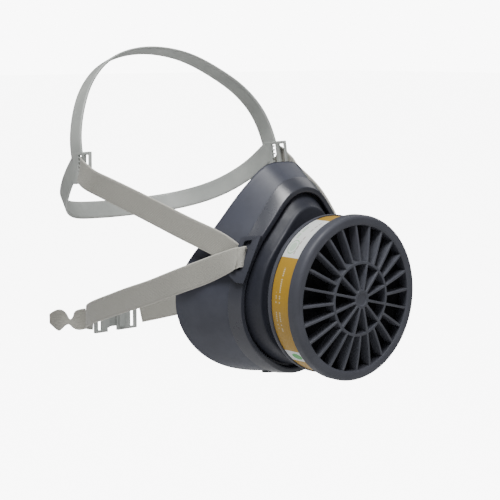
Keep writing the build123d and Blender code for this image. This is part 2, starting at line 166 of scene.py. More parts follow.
def loft(name: str, rings: Sequence[Sequence[Vector]], along: Sequence[float] = (),
         across: Sequence[float] = ()) -> Piece:
    """A surface through rings of points, made by extruding a circle ring by ring.

    Args:
        name: The object's name.
        rings: Rings of equal length. If the last repeats the first the surface closes, else its ends are
            filled.
        along: A length for each ring, kept as the attribute "along" in metres.
        across: A length for each point of a ring, kept as the attribute "across" in metres.

    Returns:
        The mesh object, facing outwards.
    """
    deselect()
    bpy.ops.mesh.primitive_circle_add(vertices=len(rings[0]), fill_type="NOTHING")
    obj = bpy.context.object
    obj.name = name
    bpy.ops.object.mode_set(mode="EDIT")
    mesh = bmesh.from_edit_mesh(obj.data)
    stamps = [mesh.verts.layers.float.new(word) for word in ("along", "across")] if along else []
    ring_now = list(mesh.verts)
    closed = (rings[0][0] - rings[-1][0]).length < 1e-9
    for step, ring in enumerate(rings):
        if step:
            bmesh.update_edit_mesh(obj.data)
            places = {vert.co.to_tuple(9): column for column, vert in enumerate(ring_now)}
            bpy.ops.mesh.extrude_edges_move()
            mesh = bmesh.from_edit_mesh(obj.data)
            if along:
                stamps = [mesh.verts.layers.float[word] for word in ("along", "across")]
            ring_now = sorted((v for v in mesh.verts if v.select), key=lambda v: places[v.co.to_tuple(9)])
        elif not closed:
            bpy.ops.mesh.edge_face_add()
            mesh = bmesh.from_edit_mesh(obj.data)
            if along:
                stamps = [mesh.verts.layers.float[word] for word in ("along", "across")]
            ring_now = list(mesh.verts)
        for column, vert in enumerate(ring_now):
            vert.co = ring[column] * MM
            if along:
                vert[stamps[0]] = along[step] * MM
                vert[stamps[1]] = across[column] * MM
    bmesh.update_edit_mesh(obj.data)
    if not closed:
        bpy.ops.mesh.edge_face_add()
    bpy.ops.object.mode_set(mode="OBJECT")
    outward(obj)
    return obj


def fillet(corners: Sequence[Point3], steps: int = 4) -> list[Point2]:
    """Round the corners of a closed polygon.

    Args:
        corners: Corners as (first, second, radius).
        steps: Segments in each rounded corner.

    Returns:
        The polygon's points.
    """
    points: list[Point2] = []
    count = len(corners)
    for index, (first, second, radius) in enumerate(corners):
        here = Vector((first, second))
        if radius <= 0:
            points.append((first, second))
            continue
        before = Vector(corners[index - 1][:2]) - here
        after = Vector(corners[(index + 1) % count][:2]) - here
        reach = min(radius, before.length * 0.48, after.length * 0.48)
        start = here + before.normalized() * reach
        stop = here + after.normalized() * reach
        for k in range(steps + 1):
            t = k / steps
            spot = start * (1 - t) ** 2 + here * 2 * t * (1 - t) + stop * t ** 2
            points.append((spot.x, spot.y))
    return points


def turn(name: str, profile: Sequence[Point2], steps: int = 144) -> Piece:
    """A solid of revolution about the Y axis, spun from its profile.

    Args:
        name: The object's name.
        profile: Closed outline of (radius, y) points.
        steps: Segments in the full turn.

    Returns:
        The mesh object, facing outwards.
    """
    deselect()
    bpy.ops.mesh.primitive_circle_add(vertices=len(profile), fill_type="NOTHING")
    obj = bpy.context.object
    obj.name = name
    for vert, (radius, y) in zip(obj.data.vertices, profile):
        vert.co = Vector((radius, y, 0)) * MM
    bpy.ops.object.mode_set(mode="EDIT")
    bpy.ops.mesh.select_all(action="SELECT")
    bpy.ops.mesh.spin(steps=steps, angle=2 * math.pi, center=(0, 0, 0), axis=(0, 1, 0))
    bpy.ops.object.mode_set(mode="OBJECT")
    outward(obj)
    return smooth(obj, 30)


def block(name: str, size: Vector, place: Matrix) -> Piece:
    """A box of a size, put at a place given in millimetres.

    Args:
        name: The object's name.
        size: Its three sides.
        place: Where its centre and axes go.

    Returns:
        The mesh object, with its place in its mesh.
    """
    deselect()
    bpy.ops.mesh.primitive_cube_add(size=1)
    obj = bpy.context.object
    obj.name = name
    shape = Matrix.Diagonal((*(size * MM), 1))
    lifted = place.copy()
    lifted.translation = place.translation * MM
    obj.data.transform(lifted @ shape)
    return obj


def cut(obj: Piece, tool: Piece) -> None:
    """Cut tool's volume out of obj and delete tool."""
    apply_modifier(obj, "BOOLEAN", operation="DIFFERENCE", solver="EXACT", object=tool)
    bpy.data.objects.remove(tool)


def fuse(obj: Piece, tool: Piece) -> None:
    """Add tool's volume to obj and delete tool."""
    apply_modifier(obj, "BOOLEAN", operation="UNION", solver="EXACT", object=tool)
    bpy.data.objects.remove(tool)


def join(name: str, pieces: Sequence[Piece]) -> Piece:
    """Join pieces into one object of that name."""
    activate(pieces[0])
    for piece in pieces:
        piece.select_set(True)
    bpy.ops.object.join()
    pieces[0].name = name
    return pieces[0]


def mirrored(obj: Piece, name: str) -> Piece:
    """A copy of obj mirrored to the other side of the wearer, facing outwards."""
    twin = obj.copy()
    twin.data = obj.data.copy()
    twin.name = name
    bpy.context.collection.objects.link(twin)
    twin.data.transform(Matrix.Diagonal((-1, 1, 1, 1)))
    twin.data.flip_normals()
    return twin


def turned_copy(obj: Piece, angle: float) -> Piece:
    """A copy of obj turned about the Y axis by an angle in radians."""
    twin = obj.copy()
    twin.data = obj.data.copy()
    bpy.context.collection.objects.link(twin)
    twin.data.transform(Matrix.Rotation(angle, 4, "Y"))
    return twin


def frame_at(origin: Sequence[float], x_way: Sequence[float], z_way: Sequence[float]) -> Matrix:
    """A place with its origin, X direction and Z direction, in millimetres."""
    z_axis = Vector(z_way).normalized()
    x_axis = Vector(x_way)
    x_axis = (x_axis - z_axis * x_axis.dot(z_axis)).normalized()
    y_axis = z_axis.cross(x_axis)
    place = Matrix((x_axis, y_axis, z_axis)).transposed().to_4x4()
    place.translation = Vector(origin)
    return place


def spline_through(points: np.ndarray, per_span: int, closed: bool) -> np.ndarray:
    """Points on the smooth curve through given points, evenly many between each two.

    Args:
        points: One row for each point.
        per_span: Samples from one point to the next.
        closed: Whether the curve runs back to its first point.

    Returns:
        One row for each sample; an open curve ends on its last point.
    """
    count = len(points)
    system = np.zeros((count, count))
    right = np.zeros_like(points)
    for row in range(count):
        inner = closed or 0 < row < count - 1
        system[row, row] = 4.0 if inner else 1.0
        if inner:
            system[row, row - 1] += 1.0
            system[row, (row + 1) % count] += 1.0
            right[row] = 6 * (points[(row + 1) % count] - 2 * points[row] + points[row - 1])
    bend = np.linalg.solve(system, right)
    samples = []
    for span in range(count if closed else count - 1):
        after = (span + 1) % count
        for k in range(per_span):
            t = k / per_span
            cubic = ((1 - t) ** 3 - (1 - t)) * bend[span] / 6 + (t ** 3 - t) * bend[after] / 6
            samples.append((1 - t) * points[span] + t * points[after] + cubic)
    if not closed:
        samples.append(points[-1])
    return np.array(samples)


# ---------------------------------------------------------------- outlines of the mask's front


@dataclass(frozen=True)
class Outline:
    """A closed outline, the same on both sides, from half its points (x, z) top to bottom."""

    half: tuple[Point2, ...]
    per_span: int = 6

    def points(self) -> list[Vector]:
        """Smooth outline in the XZ plane, from the top round the wearer's left."""
        whole = list(self.half) + [(-x, z) for x, z in reversed(self.half[1:-1])]
        return [Vector((x, 0, z)) for x, z in spline_through(np.array(whole, float), self.per_span, True)]

    def outward_ways(self) -> list[Vector]:
        """The outward direction at each point."""
        points = self.points()
        ways = []
        for index, _ in enumerate(points):
            chord = points[(index + 1) % len(points)] - points[index - 1]
            ways.append(Vector((-chord.z, 0, chord.x)).normalized())
        return ways


@dataclass(frozen=True)
class MaskForm:
    """The lines that the mask's rubber, yoke and cowl share."""

    lip: Outline = Outline(((0, 57), (10.5, 54), (18, 46.8), (24.5, 39), (32, 30), (38, 19.5), (42.3, 8),
                            (43.6, -4), (41.5, -16), (36, -26.5), (28, -35), (18.5, -42), (9, -46.8),
                            (0, -48.3)))
    boss: Outline = Outline(((0, 48.2), (8.5, 45.6), (15, 39.6), (20.8, 32.8), (27.5, 25), (33.3, 16.5),
                             (36.9, 7), (38, -3), (36.4, -13.5), (31.4, -24), (24.6, -31.4), (16.8, -37),
                             (8.5, -40.6), (0, -42)))
    seal: Outline = Outline(((0, 71.6), (11.5, 70.2), (22, 61.6), (31.5, 49.8), (41, 35.4), (50, 22.5),
                             (56.5, 8.5), (58.2, -5), (56, -17.5), (50.5, -29), (41.5, -39), (29, -46.3),
                             (14.5, -50.5), (0, -52.3)))
    lip_y: float = -29.2
    lip_lean: float = 0.066
    seal_radius: float = 110.0
    seal_nose_y: float = -12.5
    seal_lean: float = 0.115
    nose_z: float = 70.0

    @property
    def backward(self) -> Vector:
        """The direction square to the lip's plane, towards the wearer."""
        return Vector((0, 1, self.lip_lean)).normalized()

    def seal_y(self, x: float, z: float) -> float:
        """Y of the wearer's face at x, z."""
        hollow = self.seal_radius - math.sqrt(self.seal_radius ** 2 - x ** 2)
        return self.seal_nose_y + self.seal_lean * (self.nose_z - z) + hollow

    def lip_points(self) -> list[Vector]:
        """The yoke's lip as points in its leaning plane."""
        return [Vector((p.x, self.lip_y - self.lip_lean * p.z, p.z)) for p in self.lip.points()]

    def seal_points(self) -> list[Vector]:
        """The rubber's rim as points on the wearer's face."""
        return [Vector((p.x, self.seal_y(p.x, p.z), p.z)) for p in self.seal.points()]

    def lip_ring(self, depth: float, inset: float) -> list[Vector]:
        """A ring parallel to the lip on the mask's flank.

        Args:
            depth: Distance behind the lip's plane.
            inset: Distance inside the flank's surface; negative stands proud.

        Returns:
            The ring's points.
        """
        ring = []
        for lip, seal, way in zip(self.lip_points(), self.seal_points(), self.lip.outward_ways()):
            run = seal - lip
            share = depth / run.dot(self.backward)
            ring.append(lip + run * share - way * inset)
        return ring

    def flank_ring(self, share: float, inset: float, start_depth: float) -> list[Vector]:
        """A ring on the flank, some way from a depth behind the lip to the seal.

        Args:
            share: 0 at the start depth and 1 at the seal.
            inset: Distance inside the flank's surface.
            start_depth: Distance behind the lip's plane where share is 0.

        Returns:
            The ring's points.
        """
        start = self.lip_ring(start_depth, 0)
        ways = self.lip.outward_ways()
        return [a + (b - a) * share - way * inset for a, b, way in zip(start, self.seal_points(), ways)]

    def seal_ring(self, inset: float, lift: float) -> list[Vector]:
        """A ring on the wearer's face, inset from the rim and lifted off the face forwards."""
        ring = []
        for point, way in zip(self.seal.points(), self.seal.outward_ways()):
            spot = point - way * inset
            ring.append(Vector((spot.x, self.seal_y(spot.x, spot.z) - lift, spot.z)))
        return ring


FORM = MaskForm()


# ---------------------------------------------------------------- finishes


Socket = bpy.types.NodeSocket


class Wiring:
    """A short hand for adding and joining shader nodes in one tree."""

    def __init__(self, tree: bpy.types.NodeTree) -> None:
        """Take the tree to work on."""
        self.tree = tree
        self.material: bpy.types.Material | None = None

    def add(self, kind: str, **settings: object) -> bpy.types.Node:
        """Add a node.

        Args:
            kind: Blender's name for the node's type.
            settings: Properties of the node; a name with a capital is an input's value.

        Returns:
            The node.
        """
        node = self.tree.nodes.new(kind)
        for name, value in settings.items():
            if name[0].isupper():
                node.inputs[name.replace("_", " ")].default_value = value
            else:
                setattr(node, name, value)
        return node

    def join(self, source: Socket, target: Socket) -> None:
        """Join an output to an input."""
        self.tree.links.new(source, target)

    def math(self, operation: str, *values: "Socket | float", clamp: bool = False) -> Socket:
        """Add a Math node.

        Args:
            operation: Its operation.
            values: An output or a number for each input.
            clamp: Whether the result is kept from 0 to 1.

        Returns:
            Its output.
        """
        node = self.add("ShaderNodeMath", operation=operation, use_clamp=clamp)
        for socket, value in zip(node.inputs, values):
            if isinstance(value, bpy.types.NodeSocket):
                self.join(value, socket)
            else:
                socket.default_value = value
        return node.outputs[0]

    def noise(self, place: Socket, per_mm: "Socket | float", detail: float = 3.0) -> Socket:
        """A noise value over the surface, with features about 1 / per_mm millimetres wide."""
        node = self.add("ShaderNodeTexNoise", Detail=detail, Roughness=0.55)
        self.join(place, node.inputs["Vector"])
        if isinstance(per_mm, bpy.types.NodeSocket):
            self.join(self.math("MULTIPLY", per_mm, 1 / MM), node.inputs["Scale"])
        else:
            node.inputs["Scale"].default_value = per_mm / MM
        return node.outputs[0]

    def spread(self, value: Socket, low: float, high: float, to_low: float = 0.0,
               to_high: float = 1.0) -> Socket:
        """Stretch a value smoothly from one range to another."""
        node = self.add("ShaderNodeMapRange", interpolation_type="SMOOTHSTEP")
        self.join(value, node.inputs["Value"])
        for name, number in zip(("From Min", "From Max", "To Min", "To Max"), (low, high, to_low, to_high)):
            node.inputs[name].default_value = number
        return node.outputs[0]

    def band(self, value: Socket, low: float, high: float, soft: float) -> Socket:
        """1 where a value lies between two limits, 0 elsewhere, with soft steps."""
        rise = self.spread(value, low - soft, low + soft)
        fall = self.spread(value, high - soft, high + soft)
        return self.math("SUBTRACT", rise, fall, clamp=True)

    def blend(self, share: Socket, first: "Socket | Colour", second: "Socket | Colour") -> Socket:
        """Mix two colours by a share."""
        node = self.add("ShaderNodeMix", data_type="RGBA", clamp_factor=True)
        self.join(share, node.inputs[0])
        for socket, value in ((node.inputs[6], first), (node.inputs[7], second)):
            if isinstance(value, bpy.types.NodeSocket):
                self.join(value, socket)
            else:
                socket.default_value = (*value, 1.0)
        return node.outputs[2]

    def effect(self, tree: bpy.types.NodeTree, place: Socket, **values: float) -> bpy.types.Node:
        """Place an effect's group, joined to a place on the surface, with its own values."""
        node = self.add("ShaderNodeGroup", node_tree=tree)
        self.join(place, node.inputs["Place"])
        for name, value in values.items():
            node.inputs[name.replace("_", " ")].default_value = value
        return node


def start_effect(name: str, values: Sequence[str], results: Sequence[str]) -> tuple[Wiring, bpy.types.Node]:
    """Begin a shader node group that works on a place on the surface.

    Args:
        name: The group's name.
        values: Names of its number inputs.
        results: Names of its number outputs.

    Returns:
        Its wiring and its input node.
    """
    tree = bpy.data.node_groups.new(name, "ShaderNodeTree")
    tree.interface.new_socket("Place", in_out="INPUT", socket_type="NodeSocketVector")
    for word in values:
        tree.interface.new_socket(word, in_out="INPUT", socket_type="NodeSocketFloat")
    for word in results:
        tree.interface.new_socket(word, in_out="OUTPUT", socket_type="NodeSocketFloat")
    wiring = Wiring(tree)
    return wiring, wiring.add("NodeGroupInput")


def end_effect(wiring: Wiring, results: Sequence[Socket]) -> bpy.types.NodeTree:
    """Join an effect's results to its group's outputs in order and give back the group."""
    outlet = wiring.add("NodeGroupOutput")
    for source, target in zip(results, outlet.inputs):
        wiring.join(source, target)
    return wiring.tree


def moulded_skin_effect() -> bpy.types.NodeTree:
    """Fine mould grain, slow mottling and the faint marks that hands leave."""
    wiring, inlet = start_effect("moulded_skin", ("Grain Per Mm", "Mottle Per Mm"),
                                 ("Grain", "Mottle", "Handling"))
    place = inlet.outputs["Place"]
    grain = wiring.noise(place, inlet.outputs["Grain Per Mm"], 2.0)
    mottle = wiring.spread(wiring.noise(place, inlet.outputs["Mottle Per Mm"], 4.0), 0.32, 0.68)
    marks = wiring.spread(wiring.noise(place, 0.06, 5.0), 0.46, 0.66)
    dusting = wiring.spread(wiring.noise(place, 1.1, 3.0), 0.5, 0.75)
    handling = wiring.math("ADD", wiring.math("MULTIPLY", marks, 0.7), wiring.math("MULTIPLY", dusting, 0.3))
    return end_effect(wiring, (grain, mottle, handling))


def edge_rub_effect() -> bpy.types.NodeTree:
    """Where the surface stands out at an edge and is painted lighter, partly rubbed wear and partly a painted
    highlight along the edge, broken up by noise.
    """
    wiring, inlet = start_effect("edge_rub", ("Amount",), ("Rub",))
    # Edges found by pointiness are painted lighter: partly rubbed wear, partly a painted highlight.
    shape = wiring.add("ShaderNodeNewGeometry").outputs["Pointiness"]
    edge = wiring.spread(shape, 0.53, 0.6)
    broken = wiring.spread(wiring.noise(inlet.outputs["Place"], 0.7, 4.0), 0.3, 0.62)
    rub = wiring.math("MULTIPLY", wiring.math("MULTIPLY", edge, broken), inlet.outputs["Amount"])
    return end_effect(wiring, (rub,))


def elastic_knit_effect() -> bpy.types.NodeTree:
    """Ribs and courses of knitted elastic; Place is (along, across, 0) in metres."""
    wiring, inlet = start_effect("elastic_knit", ("Ribs Per Mm", "Courses Per Mm"),
                                 ("Height", "Thread", "Fleck"))
    place = inlet.outputs["Place"]
    split = wiring.add("ShaderNodeSeparateXYZ")
    wiring.join(place, split.inputs[0])
    along = wiring.math("MULTIPLY", split.outputs[0], 1 / MM)
    across = wiring.math("MULTIPLY", split.outputs[1], 1 / MM)
    rib = wiring.math("MULTIPLY", across, inlet.outputs["Ribs Per Mm"])
    stagger = wiring.math("MULTIPLY", wiring.math("FLOOR", rib), 0.5)
    course = wiring.math("ADD", wiring.math("MULTIPLY", along, inlet.outputs["Courses Per Mm"]), stagger)
    rib_crown = wiring.math("ABSOLUTE", wiring.math("SINE", wiring.math("MULTIPLY", rib, math.pi)))
    course_crown = wiring.math("ABSOLUTE", wiring.math("SINE", wiring.math("MULTIPLY", course, math.pi)))
    loop = wiring.math("MULTIPLY", wiring.math("POWER", rib_crown, 0.6),
                       wiring.math("POWER", course_crown, 0.5))
    fuzz = wiring.noise(place, 3.2, 3.0)
    height = wiring.math("ADD", wiring.math("MULTIPLY", loop, 0.75), wiring.math("MULTIPLY", fuzz, 0.5))
    fleck = wiring.spread(wiring.noise(place, 1.9, 3.0), 0.4, 0.62)
    return end_effect(wiring, (height, loop, fleck))


EFFECTS: dict[str, bpy.types.NodeTree] = {}


def effect(maker: Callable[[], bpy.types.NodeTree]) -> bpy.types.NodeTree:
    """The group that a maker makes, made once."""
    if maker.__name__ not in EFFECTS:
        EFFECTS[maker.__name__] = maker()
    return EFFECTS[maker.__name__]


def new_material(name: str) -> tuple[Wiring, bpy.types.Node]:
    """Start a material and give its wiring and its Principled node."""
    material = bpy.data.materials.new(name)
    material.use_nodes = True
    wiring = Wiring(material.node_tree)
    wiring.material = material
    return wiring, material.node_tree.nodes["Principled BSDF"]


def bump(wiring: Wiring, shader: bpy.types.Node, height: Socket, depth_mm: float,
         strength: float = 1.0) -> None:
    """Raise the shader's surface by a height over the surface."""
    node = wiring.add("ShaderNodeBump", Strength=strength, Distance=depth_mm * MM)
    wiring.join(height, node.inputs["Height"])
    wiring.join(node.outputs[0], shader.inputs["Normal"])


@dataclass(frozen=True)
class MouldedFinish:
    """Moulded rubber or plastic: two shades, grain, gloss that wanders and edges painted lighter, partly
    rubbed wear and partly a painted highlight.
    """

    name: str
    deep: Colour
    light: Colour
    gloss: tuple[float, float]
    grain_mm: float = 0.3
    grain_depth_mm: float = 0.012
    mottle_mm: float = 16.0
    # How strongly edges are painted lighter, and the colour they go to: partly rubbed wear, partly a painted
    # highlight.
    rub: float = 0.1
    rubbed: Colour = (0.3, 0.31, 0.34)
    specular: float = 0.5
    subsurface: float = 0.0
    sheen: float = 0.0

    def make(self) -> bpy.types.Material:
        """Build the material."""
        wiring, shader = new_material(self.name)
        place = wiring.add("ShaderNodeTexCoord").outputs["Object"]
        skin = wiring.effect(effect(moulded_skin_effect), place, Grain_Per_Mm=1 / self.grain_mm,
                             Mottle_Per_Mm=1 / self.mottle_mm)
        rub = wiring.effect(effect(edge_rub_effect), place, Amount=self.rub)
        body = wiring.blend(skin.outputs["Mottle"], self.deep, self.light)
        # Edges blend to a lighter colour: partly rubbed wear, partly a painted highlight.
        wiring.join(wiring.blend(rub.outputs["Rub"], body, self.rubbed), shader.inputs["Base Color"])
        low, high = self.gloss
        rough = wiring.spread(skin.outputs["Handling"], 0.0, 1.0, high, low)
        worn = wiring.math("ADD", rough, wiring.math("MULTIPLY", rub.outputs["Rub"], 0.15), clamp=True)
        wiring.join(worn, shader.inputs["Roughness"])
        bump(wiring, shader, skin.outputs["Grain"], self.grain_depth_mm)
        shader.inputs["Specular IOR Level"].default_value = self.specular
        shader.inputs["Subsurface Weight"].default_value = self.subsurface
        shader.inputs["Subsurface Radius"].default_value = (0.004, 0.004, 0.004)
        shader.inputs["Subsurface Scale"].default_value = 0.5
        shader.inputs["Sheen Weight"].default_value = self.sheen
        return wiring.material


@dataclass(frozen=True)
class ElasticFinish:
    """Knitted elastic webbing, with ribs along it and paler selvedges."""

    name: str
    thread: Colour
    shade: Colour
    selvedge: Colour
    half_width_mm: float
    ribs_per_mm: float = 1.25
    courses_per_mm: float = 1.1

    def make(self) -> bpy.types.Material:
        """Build the material."""
        wiring, shader = new_material(self.name)
        along = wiring.add("ShaderNodeAttribute", attribute_name="along").outputs["Fac"]
        across = wiring.add("ShaderNodeAttribute", attribute_name="across").outputs["Fac"]
        place = wiring.add("ShaderNodeCombineXYZ")
        wiring.join(along, place.inputs[0])
        wiring.join(across, place.inputs[1])
        knit = wiring.effect(effect(elastic_knit_effect), place.outputs[0], Ribs_Per_Mm=self.ribs_per_mm,
                             Courses_Per_Mm=self.courses_per_mm)
        lit = wiring.spread(knit.outputs["Thread"], 0.0, 1.0, 0.55, 1.0)
        cloth = wiring.blend(lit, self.shade, self.thread)
        flecked = wiring.blend(wiring.math("MULTIPLY", knit.outputs["Fleck"], 0.75), cloth, self.shade)
        edge = wiring.spread(wiring.math("ABSOLUTE", across), (self.half_width_mm - 0.9) * MM,
                             (self.half_width_mm - 0.4) * MM)
        wiring.join(wiring.blend(wiring.math("MULTIPLY", edge, 0.6), flecked, self.selvedge),
                    shader.inputs["Base Color"])
        wiring.join(wiring.spread(knit.outputs["Thread"], 0.0, 1.0, 0.95, 0.78), shader.inputs["Roughness"])
        bump(wiring, shader, knit.outputs["Height"], 0.1)
        shader.inputs["Sheen Weight"].default_value = 0.25
        shader.inputs["Sheen Roughness"].default_value = 0.5
        shader.inputs["Specular IOR Level"].default_value = 0.25
        return wiring.material


@dataclass(frozen=True)
class LabelFinish:
    """A wrapped paper label: gold, with a white field and a small white patch, and printed marks.

    Angles are degrees from the wearer's right, rising to the top; marks are rows of plain dashes and rings.
    """

    name: str = "printed_label"
    radius: float = 43.7
    gold: Colour = (0.47, 0.27, 0.022)
    white: Colour = (0.78, 0.8, 0.78)
    green: Colour = (0.1, 0.42, 0.12)
    pale_ink: Colour = (0.68, 0.6, 0.4)
    dark_ink: Colour = (0.3, 0.2, 0.2)
    field: tuple[float, float] = (34.0, 76.0)
    patch: tuple[float, float] = (-50.0, -38.5)
    front_edge: float = -66.3

    def ring(self, wiring: Wiring, arc: Socket, y: Socket, middle: Point2, size: Point2) -> Socket:
        """1 inside an oval outline of a middle (degrees, y) and half sizes."""
        aside = wiring.math("DIVIDE", wiring.math("SUBTRACT", arc, middle[0]), size[0])
        forth = wiring.math("DIVIDE", wiring.math("SUBTRACT", y, middle[1]), size[1])
        far = wiring.math("ADD", wiring.math("MULTIPLY", aside, aside), wiring.math("MULTIPLY", forth, forth))
        return wiring.math("SQRT", far)

    def dashes(self, wiring: Wiring, arc: Socket, y: Socket, row: Point2, span: Point2,
               step: float) -> Socket:
        """A row of uneven dashes.

        Args:
            wiring: The material's wiring.
            arc: Degrees round the label.
            y: Place across the label.
            row: From and to across the label.
            span: From and to in degrees.
            step: Degrees from dash to dash.

        Returns:
            1 on the dashes.
        """
        cell = wiring.math("FLOOR", wiring.math("DIVIDE", arc, step))
        chance = wiring.add("ShaderNodeTexWhiteNoise", noise_dimensions="1D")
        wiring.join(cell, chance.inputs["W"])
        filled = wiring.math("GREATER_THAN", chance.outputs["Value"], 0.3)
        inside = wiring.math("FRACT", wiring.math("DIVIDE", arc, step))
        stroke = wiring.band(inside, 0.12, 0.85, 0.06)
        place = wiring.math("MULTIPLY", wiring.band(y, *row, 0.08), wiring.band(arc, *span, 0.2))
        return wiring.math("MULTIPLY", wiring.math("MULTIPLY", stroke, filled), place)

    def make(self) -> bpy.types.Material:
        """Build the material."""
        wiring, shader = new_material(self.name)
        place = wiring.add("ShaderNodeTexCoord").outputs["Object"]
        split = wiring.add("ShaderNodeSeparateXYZ")
        wiring.join(place, split.inputs[0])
        y = wiring.math("MULTIPLY", split.outputs[1], 1 / MM)
        right = wiring.math("MULTIPLY", split.outputs[0], -1.0)
        arc = wiring.math("DEGREES", wiring.math("ARCTAN2", split.outputs[2], right))
        fibre = wiring.noise(place, 0.9, 4.0)
        gold = wiring.blend(fibre, self.gold, tuple(c * 0.82 for c in self.gold))
        white_parts = wiring.math("ADD", wiring.band(arc, *self.field, 0.15),
                                  wiring.band(arc, *self.patch, 0.15), clamp=True)
        inner = wiring.math("GREATER_THAN", y, self.front_edge)
        base = wiring.blend(wiring.math("MULTIPLY", white_parts, inner), gold, self.white)
        emblem = self.ring(wiring, arc, y, (43.0, -57.6), (6.2, 3.4))
        outline = wiring.band(emblem, 0.86, 1.0, 0.03)
        heart = wiring.math("MULTIPLY", wiring.band(emblem, -1.0, 0.62, 0.05), 0.35)
        lines = self.dashes(wiring, arc, y, (-56.4, -54.8), (51, 71), 1.7)
        green_marks = wiring.math("ADD", wiring.math("ADD", wiring.math("MULTIPLY", outline, 0.6), heart),
                                  wiring.math("MULTIPLY", lines, 0.45), clamp=True)
        base = wiring.blend(green_marks, base, self.green)
        dot = wiring.band(self.ring(wiring, arc, y, (-44.2, -60.4), (3.4, 3.6)), -1.0, 1.0, 0.05)
        base = wiring.blend(dot, base, self.green)
        warm = self.dashes(wiring, arc, y, (-61.5, -60.5), (37, 73), 4.5)
        base = wiring.blend(wiring.math("MULTIPLY", warm, 0.55), base, self.dark_ink)
        long_row = self.dashes(wiring, arc, y, (-59.8, -58.8), (-22, 26), 1.5)
        short_row = self.dashes(wiring, arc, y, (-57.0, -56.2), (-19, 8), 1.5)
        print_marks = wiring.math("ADD", long_row, short_row, clamp=True)
        base = wiring.blend(wiring.math("MULTIPLY", print_marks, 0.7), base, self.pale_ink)
        wiring.join(base, shader.inputs["Base Color"])
        wiring.join(wiring.spread(fibre, 0.3, 0.7, 0.34, 0.5), shader.inputs["Roughness"])
        bump(wiring, shader, fibre, 0.01)
        return wiring.material


@dataclass(frozen=True)
class GranularFinish:
    """Felt fibres or loose granules: a rough, broken, dark or pale surface."""

    name: str
    deep: Colour
    light: Colour
    lump_mm: float
    depth_mm: float

    def make(self) -> bpy.types.Material:
        """Build the material."""
        wiring, shader = new_material(self.name)
        place = wiring.add("ShaderNodeTexCoord").outputs["Object"]
        lumps = wiring.add("ShaderNodeTexVoronoi", Scale=1 / (self.lump_mm * MM))
        wiring.join(place, lumps.inputs["Vector"])
        fibre = wiring.noise(place, 2.5 / self.lump_mm, 4.0)
        shade = wiring.math("MULTIPLY", fibre, lumps.outputs["Distance"])
        lit = wiring.spread(shade, 0.05, 0.4)
        wiring.join(wiring.blend(lit, self.deep, self.light), shader.inputs["Base Color"])
        wiring.join(wiring.spread(fibre, 0.2, 0.8, 0.85, 1.0), shader.inputs["Roughness"])
        bump(wiring, shader, wiring.math("ADD", shade, fibre), self.depth_mm)
        shader.inputs["Specular IOR Level"].default_value = 0.15
        return wiring.material


@dataclass(frozen=True)
class SheetMetalFinish:
    """Perforated sheet steel with rolling lines."""

    name: str = "sieve_sheet"
    bright: Colour = (0.55, 0.56, 0.58)
    dull: Colour = (0.36, 0.37, 0.39)

    def make(self) -> bpy.types.Material:
        """Build the material."""
        wiring, shader = new_material(self.name)
        place = wiring.add("ShaderNodeTexCoord").outputs["Object"]
        stretch = wiring.add("ShaderNodeMapping", Scale=(0.06, 1.0, 1.0))
        wiring.join(place, stretch.inputs["Vector"])
        lines = wiring.noise(stretch.outputs[0], 2.4, 4.0)
        wiring.join(wiring.blend(lines, self.dull, self.bright), shader.inputs["Base Color"])
        wiring.join(wiring.spread(lines, 0.3, 0.7, 0.28, 0.45), shader.inputs["Roughness"])
        shader.inputs["Metallic"].default_value = 1.0
        bump(wiring, shader, lines, 0.006)
        return wiring.material


FACE_RUBBER = MouldedFinish("face_rubber", (0.052, 0.056, 0.075), (0.064, 0.069, 0.092), (0.36, 0.44), 0.28,
                            0.012, specular=0.38)
YOKE_RUBBER = MouldedFinish("yoke_rubber", (0.045, 0.048, 0.061), (0.053, 0.056, 0.071), (0.27, 0.285), 0.5,
                            0.001, rub=0.0)
COWL_PLASTIC = MouldedFinish("cowl_plastic", (0.025, 0.027, 0.037), (0.032, 0.0345, 0.047), (0.34, 0.46),
                             0.25, 0.008, specular=0.3)
CANISTER_PLASTIC = MouldedFinish("canister_plastic", (0.062, 0.065, 0.08), (0.074, 0.0775, 0.095),
                                 (0.38, 0.5), 0.3, 0.01, specular=0.3)
SEAL_RUBBER = MouldedFinish("gasket_rubber", (0.012, 0.012, 0.013), (0.02, 0.02, 0.021), (0.6, 0.75), 0.3,
                            0.02)
SILICONE = MouldedFinish("flap_silicone", (0.62, 0.62, 0.58), (0.7, 0.7, 0.66), (0.3, 0.42), 0.4, 0.006,
                         rubbed=(0.75, 0.75, 0.72), subsurface=0.4)
CRADLE_PLASTIC = MouldedFinish("cradle_plastic", (0.4, 0.42, 0.4), (0.47, 0.49, 0.465), (0.32, 0.46), 0.35,
                               0.01, rubbed=(0.45, 0.48, 0.47), subsurface=0.08)
CLASP_PLASTIC = MouldedFinish("clasp_plastic", (0.36, 0.38, 0.36), (0.42, 0.44, 0.42), (0.32, 0.46), 0.35,
                              0.01, rubbed=(0.42, 0.45, 0.44), subsurface=0.05)
STRAP_ELASTIC = ElasticFinish("strap_elastic", (0.48, 0.47, 0.42), (0.23, 0.225, 0.2), (0.66, 0.645, 0.58),
                              7.0)
LABEL_PRINT = LabelFinish()
PREFILTER_FELT = GranularFinish("prefilter_felt", (0.004, 0.004, 0.005), (0.014, 0.014, 0.017), 0.6, 0.2)
DUST_FELT = GranularFinish("dust_felt", (0.5, 0.5, 0.47), (0.66, 0.66, 0.62), 0.5, 0.15)
CHARCOAL = GranularFinish("charcoal_granules", (0.006, 0.006, 0.006), (0.03, 0.03, 0.03), 1.1, 0.5)
SIEVE_SHEET = SheetMetalFinish()
MADE: dict[str, bpy.types.Material] = {}


def dress(obj: Piece, finish: object) -> None:
    """Give obj a finish's material, made once."""
    if finish.name not in MADE:
        MADE[finish.name] = finish.make()
    obj.data.materials.clear()
    obj.data.materials.append(MADE[finish.name])


